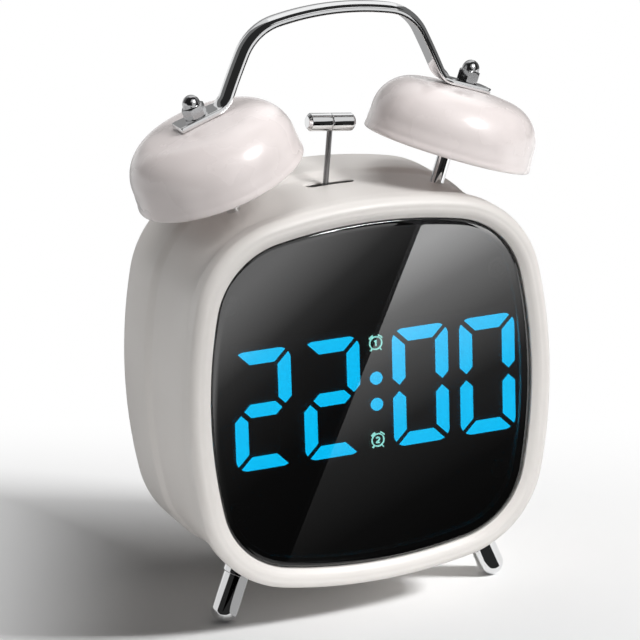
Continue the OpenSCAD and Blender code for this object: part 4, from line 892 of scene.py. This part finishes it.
# %% The legs
LEG_SPLAY = math.radians(22.5)
LEG_X, LEG_Y, LEG_DEPTH = 34.22762, -46.56158, 14.0
LEG_R, COLLAR_R = 3.6, 4.0
leg_profile = np.concatenate([
    [[0.0, -9.6], [STUD_R, -9.6], [STUD_R, -1.0]],
    soft_corner((STUD_R, -0.95), (COLLAR_R, -0.95), (COLLAR_R, 2.6), 0.15),
    soft_corner((COLLAR_R, -0.95), (COLLAR_R, 2.6), (LEG_R, 2.6), 0.3),
    soft_corner((3.9, 2.6), (LEG_R, 2.6), (LEG_R, 6.0), 0.1),
    [[LEG_R, 5.0], [LEG_R, 9.0]],
    arc(0.0, 13.0, LEG_R, 0, 90, 20),
])
for name, side in SIDES:
    grid, quads = turned_shell(leg_profile, (side * LEG_X, LEG_Y, LEG_DEPTH),
                               (side * math.sin(LEG_SPLAY), -math.cos(LEG_SPLAY), 0.0), 96)
    grid[..., 2] = np.maximum(grid[..., 2], 0.0)
    make_piece(name + "_turned_leg", [(grid, quads)], CHROME, "clock", [name + "_leg"])

# %% [markdown]
# The hammer's head is a short turned bar with chamfered ends and a fine groove round its middle, and the
# rod is a plain wire. Both are turned profiles again, about two axes that are square to each other. They
# ride on the hammer's body, so they swing together between the bells.

# %% The hammer's head and rod
HAMMER_TILT = math.radians(6.5)
PIVOT = np.array([-3.45225, 38.0, 25.0])
HEAD_AT, HEAD_R, HEAD_HALF, ROD_R = 30.49603, 2.4, 6.7, 0.75
rod_dir = np.array([math.sin(HAMMER_TILT), math.cos(HAMMER_TILT), 0.0])
head_dir = np.array([math.cos(HAMMER_TILT), -math.sin(HAMMER_TILT), 0.0])
half_head = np.concatenate([
    [[0.0, -HEAD_HALF], [1.0, -HEAD_HALF]],
    soft_corner((1.0, -HEAD_HALF), (1.6, -HEAD_HALF), (HEAD_R, -5.9), 0.12),
    soft_corner((1.6, -HEAD_HALF), (HEAD_R, -5.9), (HEAD_R, 0.0), 0.12),
    [[HEAD_R, -3.0], [HEAD_R, -0.3], [2.36, -0.15], [2.25, 0.0]],
])
head_profile = np.concatenate([half_head, (half_head * (1, -1))[-2::-1]])
striker = make_piece("striker_head", [turned_shell(head_profile, PIVOT + HEAD_AT * rod_dir, head_dir, 72)],
                     CHROME, "hammer", ["hammer_head"])
rod_profile = np.array([[0.0, 3.45], [ROD_R, 3.45], [ROD_R, 12.0], [ROD_R, 22.0], [ROD_R, 30.4], [0.0, 30.4]])
make_piece("striker_rod", [turned_shell(rod_profile, PIVOT, rod_dir, 32)],
           ROD_STEEL, "hammer", ["hammer_rod"])

# %% [markdown]
# The five buttons on the back are moulded caps with a shallow dish for the finger, a soft rim, a flange
# that keeps them in, and a stem to the switch. A bevelled cylinder has no dish, so they are turned from
# a profile as well. They stick out 1.6 mm and each rides on its own body.

# %% The buttons
CAP_R, CAP_FLANGE, STEM_R, KEEP_BACK, KEEP_FRONT = 3.5, 4.4, 1.1, 50.25, 49.25
BUTTON_PITCH, BUTTON_Y = 12.0, 8.0
button_profile = np.concatenate([
    [[0.0, 53.85], [1.2, 53.88], [2.2, 53.97]],
    soft_corner((2.2, 53.97), (2.95, 54.1), (CAP_R, 53.5), 0.25),
    soft_corner((2.95, 54.1), (CAP_R, 53.5), (CAP_R, 51.0), 0.2),
    soft_corner((CAP_R, 51.0), (CAP_R, KEEP_BACK), (CAP_FLANGE, KEEP_BACK), 0.08),
    soft_corner((CAP_R, KEEP_BACK), (CAP_FLANGE, KEEP_BACK), (CAP_FLANGE, KEEP_FRONT), 0.15),
    soft_corner((CAP_FLANGE, KEEP_BACK), (CAP_FLANGE, KEEP_FRONT), (STEM_R, KEEP_FRONT), 0.15),
    [[STEM_R, KEEP_FRONT], [STEM_R, 47.05], [0.0, 47.05]],
])
for place, name in enumerate(("time", "alarm_one", "alarm_two", "up", "down")):
    cap = turned_shell(button_profile, ((place - 2) * BUTTON_PITCH, BUTTON_Y, 0.0), (0.0, 0.0, 1.0), 64)
    make_piece(name + "_cap", [cap], BUTTON_PLASTIC, name + "_key", [name + "_button"])

# %% [markdown]
# ## Table, light and camera
# The table is a wide pale plane. It fades to plain white at the back and far out, as a paper sweep does under
# a lamp of its own. A little to the left the fade is painted light: white mixed into the table lifts the
# clock's cast shadow, so that the shadow thins away from the clock. A curved backdrop would give the white at
# the back too, but it would be seen from other sides, so the fade is in the material, for rays that come from
# the camera or from a mirror.

# %% The table
def stage_object(name, mesh):
    """An object of the stage, which is not part of the clock."""
    obj = bpy.data.objects.new(name, mesh)
    bpy.context.scene.collection.objects.link(obj)
    return obj


def stage_plane(name, corners, mat):
    """A flat stage piece through four corners, in metres."""
    mesh = bpy.data.meshes.new(name)
    mesh.from_pydata([tuple(c) for c in corners], [], [(0, 1, 2, 3)])
    mesh.materials.append(mat)
    return stage_object(name, mesh)


def fade_in(tree, value, start, end, most):
    """A share that grows smoothly from nothing to most while a value goes from start to end."""
    fade = tree.nodes.new("ShaderNodeMapRange")
    fade.interpolation_type = "SMOOTHSTEP"
    fade.inputs["From Min"].default_value = start
    fade.inputs["From Max"].default_value = end
    fade.inputs["To Max"].default_value = most
    tree.links.new(value, fade.inputs["Value"])
    return fade.outputs["Result"]


def distance(tree, where, way=None):
    """How far a place lies along a direction, or from the middle where no direction is given."""
    node = tree.nodes.new("ShaderNodeVectorMath")
    node.operation = "DOT_PRODUCT" if way else "LENGTH"
    tree.links.new(where, node.inputs[0])
    if way:
        node.inputs[1].default_value = way
    return node.outputs["Value"]


def largest(tree, first, *rest):
    """The largest of several values."""
    for value in rest:
        first = maths(tree, "MAXIMUM", first, value)
    return first


def seen_directly(tree):
    """One for rays that the camera, a mirror or a window sends, and nought for light that only bounces."""
    rays = tree.nodes.new("ShaderNodeLightPath")
    return largest(tree, rays.outputs["Is Camera Ray"], rays.outputs["Is Glossy Ray"],
                   rays.outputs["Is Transmission Ray"])


def mix_surface(tree, share, first, second, output="Material Output"):
    """Goes from the first shader to the second by a share, and sends the mix to the output."""
    mix = tree.nodes.new("ShaderNodeMixShader")
    tree.links.new(share, mix.inputs["Fac"])
    tree.links.new(first.outputs[0], mix.inputs[1])
    tree.links.new(second.outputs[0], mix.inputs[2])
    tree.links.new(mix.outputs["Shader"], tree.nodes[output].inputs["Surface"])


def table_finish():
    """A pale matt surface that fades to plain white further back and far out, and a little to the left, where
    the white is painted light that thins the clock's cast shadow.
    """
    mat, tree, shader = new_material("pale_table")
    set_plain(shader, Base_Color=(0.9, 0.9, 0.9, 1.0), Roughness=0.9, Specular_IOR_Level=0.2)
    where = tree.nodes.new("ShaderNodeTexCoord").outputs["Object"]
    # The fade to the left is painted light: white mixed into the table thins the clock's cast shadow away
    # from the clock.
    away = largest(tree, fade_in(tree, distance(tree, where, TO_BACK), 0.0, 0.11, 1.0),
                   fade_in(tree, distance(tree, where, TO_LEFT), 0.045, 0.12, 0.6),
                   fade_in(tree, distance(tree, where), 0.25, 0.7, 1.0))
    share = maths(tree, "MULTIPLY", away, seen_directly(tree))
    mix_surface(tree, share, shader, tree.nodes.new("ShaderNodeEmission"))
    return mat


TO_BACK, TO_LEFT, TABLE_HALF = (0.39, 0.92, 0.0), (-0.92, 0.39, 0.0), 4
table = stage_plane("table", [(x * TABLE_HALF, y * TABLE_HALF, 0)
                              for x, y in ((-1, -1), (1, -1), (1, 1), (-1, 1))], table_finish())
print("table", table.name)

# %% [markdown]
# The room is a world of one colour. What the camera sees of it is white, mirrors see it a little less
# bright, and as a light on the clock it is only a weak fill. A single bright world would wash out the
# shadow, so Light Path tells the three kinds of rays apart.

# %% The room
FILL, WHITE_IN_MIRRORS = 0.065, 0.8
world = bpy.data.worlds.new("pale_room")
bpy.context.scene.world = world
world.use_nodes = True
room = world.node_tree
fill = room.nodes["Background"]
fill.inputs["Color"].default_value = (1.0, 0.99, 0.98, 1.0)
fill.inputs["Strength"].default_value = FILL
white = room.nodes.new("ShaderNodeBackground")
white.inputs["Color"].default_value = (1.0, 1.0, 1.0, 1.0)
by_camera = room.nodes.new("ShaderNodeLightPath").outputs["Is Camera Ray"]
level = maths(room, "MULTIPLY_ADD", by_camera, 1.0 - WHITE_IN_MIRRORS, WHITE_IN_MIRRORS)
room.links.new(level, white.inputs["Strength"])
mix_surface(room, seen_directly(room), fill, white, "World Output")
print("room", world.name)

# %% [markdown]
# The key light is a softbox at the right, raised, and lights the clock. The table has a softbox of its
# own, lower and further to the right, so that the shadow lies long to the left. A top light, a back light
# and a weak light from the left keep the shaded sides readable, and two narrow strips near the table lift
# the foot of the case. They stay out of mirrors, because each would put a square glint on the chrome. The
# key leaves out handle and hammer head, whose bands come from the cards further down.

# %% The lamps
def softbox(name, place, aim, size, power, spread=180.0):
    """A square area lamp at a place, turned towards a point; a small spread gives a narrow beam."""
    lamp = bpy.data.lights.new(name, "AREA")
    lamp.shape = "SQUARE"
    lamp.size = size
    lamp.energy = power
    lamp.spread = math.radians(spread)
    obj = bpy.data.objects.new(name, lamp)
    bpy.context.scene.collection.objects.link(obj)
    obj.location = place
    way = np.asarray(aim, float) - np.asarray(place, float)
    yaw = math.atan2(way[1], way[0]) - math.pi / 2
    pitch = math.atan2(way[2], math.hypot(way[0], way[1]))
    obj.rotation_euler = (math.pi / 2 + pitch, 0.0, yaw)
    return obj


def falls_on(lamp, pieces, only):
    """A light that falls on some pieces only, or on everything but those pieces."""
    group = bpy.data.collections.new(lamp.name + "_receivers")
    for piece in pieces:
        group.objects.link(piece)
    for row in group.collection_objects:
        row.light_linking.link_state = "INCLUDE" if only else "EXCLUDE"
    lamp.light_linking.receiver_collection = group


key = softbox("key_softbox", (0.385, -0.62, 0.80), (0.0, 0.0, 0.11), 0.28, 7.4)
falls_on(key, [table, handle, striker], False)
shadow_light = softbox("shadow_softbox", (0.81, -0.42, 0.64), (0.0, 0.0, 0.05), 0.16, 15.5)
falls_on(shadow_light, [table], True)
for lamp in (softbox("top_softbox", (0.0, 0.05, 1.0), (0.0, 0.0, 0.1), 0.5, 3.4),
             softbox("back_softbox", (0.5, 0.75, 0.6), (0.0, 0.0, 0.1), 0.4, 3.0),
             softbox("left_softbox", (-0.75, -0.2, 0.7), (0.0, 0.0, 0.1), 0.3, 0.8),
             softbox("side_strip", (-0.32, -0.06, 0.05), (-0.05, 0.0, 0.035), 0.06, 0.0105, 45.0),
             softbox("front_strip", (-0.12, -0.36, 0.03), (0.0, -0.02, 0.012), 0.06, 0.01, 25.0)):
    lamp.visible_glossy = False
    lamp.visible_camera = False
    falls_on(lamp, [table], False)
print("lamps", len(bpy.data.lights))

# %% [markdown]
# The gleam on the lens comes from a card in front of it, which the lens mirrors: a bright part and a dim
# part that meet along a slanting line, each fading downwards. The card's light falls on the lens only.
# A painted gleam would stay in place when the clock turns; a mirrored one moves as on the real lens.

# %% The lens's gleam
GLEAM_AHEAD, GLEAM_LOW, GLEAM_HIGH, GLEAM_LEFT, GLEAM_RIGHT = -32.0, -60.0, 55.0, -75.0, 80.0
SLANT_LOW, SLANT_HIGH = -15.3, 38.3


def only_mirrored(card):
    """Hides a stage piece from the camera, from soft bounces and from shadows, so that mirrors see it."""
    card.visible_camera = False
    card.visible_diffuse = False
    card.visible_volume_scatter = False
    card.visible_shadow = False
    return card


def reflection_card(name, corners, mat):
    """A flat card that only reflections see."""
    return only_mirrored(stage_plane(name, corners, mat))


def card_glow(name, slope, start, reach, stops, strength):
    """Light that falls off along one direction of the card, by a list of (share of the way, level);
    the side that faces away from the clock is clear."""
    mat, tree, shader = new_material(name)
    tree.nodes.remove(shader)
    share = tree.nodes.new("ShaderNodeMapRange")
    share.inputs["From Min"].default_value = start
    share.inputs["From Max"].default_value = start + reach
    where = tree.nodes.new("ShaderNodeTexCoord").outputs["Object"]
    tree.links.new(distance(tree, where, slope), share.inputs["Value"])
    ramp = tree.nodes.new("ShaderNodeValToRGB")
    for i, (place, level) in enumerate(stops):
        stop = ramp.color_ramp.elements[i] if i < 2 else ramp.color_ramp.elements.new(place)
        stop.position = place
        stop.color = (level, level, level, 1.0)
    tree.links.new(share.outputs["Result"], ramp.inputs["Fac"])
    glow = tree.nodes.new("ShaderNodeEmission")
    glow.inputs["Strength"].default_value = strength
    tree.links.new(ramp.outputs["Color"], glow.inputs["Color"])
    side = tree.nodes.new("ShaderNodeNewGeometry")
    mix_surface(tree, side.outputs["Backfacing"], glow, tree.nodes.new("ShaderNodeBsdfTransparent"))
    return mat


def gleam_card(name, low_x, high_x, mat):
    """A card in front of the lens, which lights only the lens; low_x and high_x are the left and right ends
    of its lower and upper edge."""
    corners = on_table(np.array([low_x[0], low_x[1], high_x[1], high_x[0]]),
                       np.array([GLEAM_LOW, GLEAM_LOW, GLEAM_HIGH, GLEAM_HIGH]), GLEAM_AHEAD)
    falls_on(reflection_card(name, corners[::-1], mat), [lens], True)


gleam_card("gleam_bright", (SLANT_LOW, GLEAM_RIGHT), (SLANT_HIGH, GLEAM_RIGHT), card_glow(
    "bright_glow", (1410.0, 0.0, -3373.0), -277.0, 300.0,
    [(0.0, 1.0), (1.0, 0.007), (0.167, 0.41), (0.323, 0.19), (0.53, 0.045), (0.8, 0.012)], 4.2))
gleam_card("gleam_dim", (GLEAM_LEFT, SLANT_LOW), (GLEAM_LEFT, SLANT_HIGH), card_glow(
    "dim_glow", (1840.0, 0.0, -2497.0), -262.0, 300.0,
    [(0.0, 1.0), (1.0, 0.003), (0.177, 0.2), (0.267, 0.085), (0.467, 0.027)], 1.5))

# %% [markdown]
# In a studio, chrome looks like chrome because dark and light things stand around it. The handle mirrors
# four curved cards: a black one that runs along the whole arch as a thin dark line, a bright one over the
# grip, and a dusky one at each side. Where they stand follows from the mirror law, for the directions in
# which the bar's round top faces. Bending them by hand would take many tries.

# %% Cards for the handle
HANDLE_MIDDLE = np.array([0.0, 0.0, 0.14])
VIEW = np.array([0.375, 0.879, -0.295])
ABOVE_TABLE = 0.003


def flag_finish(name, level):
    """A card that gives back one grey level and has no gloss."""
    mat, _, shader = new_material(name)
    set_plain(shader, Base_Color=(0.0, 0.0, 0.0, 1.0), Specular_IOR_Level=0.0,
              Emission_Color=(level, level, level, 1.0), Emission_Strength=1.0)
    return mat


def mirrored(view, normal):
    """The mirror law: the view less twice its share along the normal."""
    return view - 2 * (view * normal).sum(-1, keepdims=True) * normal


def handle_flag(name, turns, lows, highs, reach, mat):
    """A curved card, in the directions that the bar's round top mirrors between two angles towards the
    front. Both angles change along the arch, given for a few outward directions of the bar."""
    turn = np.linspace(turns[0], turns[-1], 49)
    middle = on_table(0.0, 0.0, 0.0)
    out = on_table(np.cos(np.radians(turn)), np.sin(np.radians(turn)), 0.0) - middle
    front = on_table(0.0, 0.0, -1.0) - middle
    edges = []
    for angles in (lows, highs):
        tilt = np.radians(np.interp(-turn, -np.array(turns), angles))[:, None]
        normal = 1000.0 * (np.cos(tilt) * out + np.sin(tilt) * front)
        edges.append(HANDLE_MIDDLE + reach * mirrored(VIEW, normal))
    points = np.stack(edges)
    points[..., 2] = np.maximum(points[..., 2], ABOVE_TABLE)
    mesh = bpy.data.meshes.new(name)
    mesh.from_pydata(points.reshape(-1, 3).tolist(), [], grid_quads(2, len(turn)).tolist())
    mesh.materials.append(mat)
    return only_mirrored(stage_object(name, mesh))


flag_black, flag_dusk = flag_finish("flag_black", 0.025), flag_finish("flag_dusk", 0.17)
flag_grey, flag_pale = flag_finish("flag_grey", 0.3), flag_finish("flag_pale", 0.42)
flag_white = flag_finish("flag_white", 1.1)
handle_flag("handle_flag", (166.0, 135.0, 105.0, 75.0, 45.0, 14.0), (20.0, 22.0, 31.0, 32.0, 48.0, 52.0),
            (58.0, 56.0, 46.0, 48.0, 82.0, 95.0), 0.9, flag_black)
handle_flag("handle_glow", (112.0, 72.0), (12.0, 12.0), (33.0, 34.0), 1.1, flag_white)
handle_flag("handle_shade_left", (166.0, 132.0, 112.0), (2.0, 6.0, 29.0), (32.0, 32.0, 32.0), 1.0, flag_dusk)
handle_flag("handle_shade_right", (74.0, 55.0, 14.0), (38.0, 5.0, 5.0), (40.0, 55.0, 70.0), 1.0, flag_dusk)

# %% [markdown]
# Flat cards do the rest. Two black ones lie on the table beside the legs, and a pale one behind the clock,
# where the inner side of the handle mirrors it. One stands beside the left leg, one before the hammer's
# head, one on the camera's side and one far behind. A pale card on the table before the clock greys the
# lower edge of the lens. One large card would be simpler, but each chrome piece has its own dark line.

# %% Flat cards
FLAT_CARDS = {
    "handle_floor_shade": (flag_pale, (-0.1, 0.1, 0.002), (0.2, 0.1, 0.002),
                           (0.25, 0.6, 0.002), (-0.1, 0.6, 0.002)),
    "camera_flag": (flag_black, (-0.2, -1.2, 0.01), (-1.2, -0.32, 0.01),
                    (-1.2, -0.32, 1.0), (-0.2, -1.2, 1.0)),
    "hammer_flag": (flag_black, (0.008, -0.0605, 0.103), (0.044, -0.0435, 0.103),
                    (0.044, -0.0435, 0.15), (0.008, -0.0605, 0.15)),
    "back_shade": (flag_grey, (-0.3, 1.2, 0.2), (0.7, 1.2, 0.2),
                   (0.7, 1.2, 0.75), (-0.3, 1.2, 0.75)),
    "left_leg_screen": (flag_black, (-0.158, -0.03, 0.0), (-0.03, -0.16, 0.0),
                        (-0.03, -0.16, 0.045), (-0.158, -0.03, 0.045)),
    "left_leg_flag": (flag_black, (-0.045, -0.021, 0.0015), (-0.158, -0.03, 0.0015),
                      (-0.03, -0.16, 0.0015), (-0.037, -0.024, 0.0015)),
    "right_leg_flag": (flag_black, (0.0335, -0.021, 0.0015), (-0.0205, -0.062, 0.0015),
                       (0.1275, -0.095, 0.0015), (0.0435, -0.0205, 0.0015)),
    "floor_shade": (flag_pale, (-0.0365, -0.012, 0.001), (-0.0365, -0.16, 0.001),
                    (0.029, -0.16, 0.001), (0.029, -0.012, 0.001)),
}
for name, (mat, *corners) in FLAT_CARDS.items():
    reflection_card(name, corners, mat)
print("flat cards", *FLAT_CARDS)

# %% [markdown]
# The camera has a long lens and stands to the left and above, looking down by about 21 degrees, as the
# perspective of the photograph says. The colours are shown as they are, with the Standard view.

# %% The camera
camera_data = bpy.data.cameras.new("photo_camera")
camera_data.sensor_width = 36.0
camera_data.lens = 210.317
camera_data.clip_start = 0.01
camera = bpy.data.objects.new("photo_camera", camera_data)
bpy.context.scene.collection.objects.link(camera)
camera.location = (-0.366829, -0.860394, 0.433191)
camera.rotation_euler = (math.radians(90 - 20.98326), 0.0, math.radians(-22.8204))
bpy.context.scene.camera = camera
bpy.context.scene.view_settings.view_transform = "Standard"
print("camera", camera.location[:])
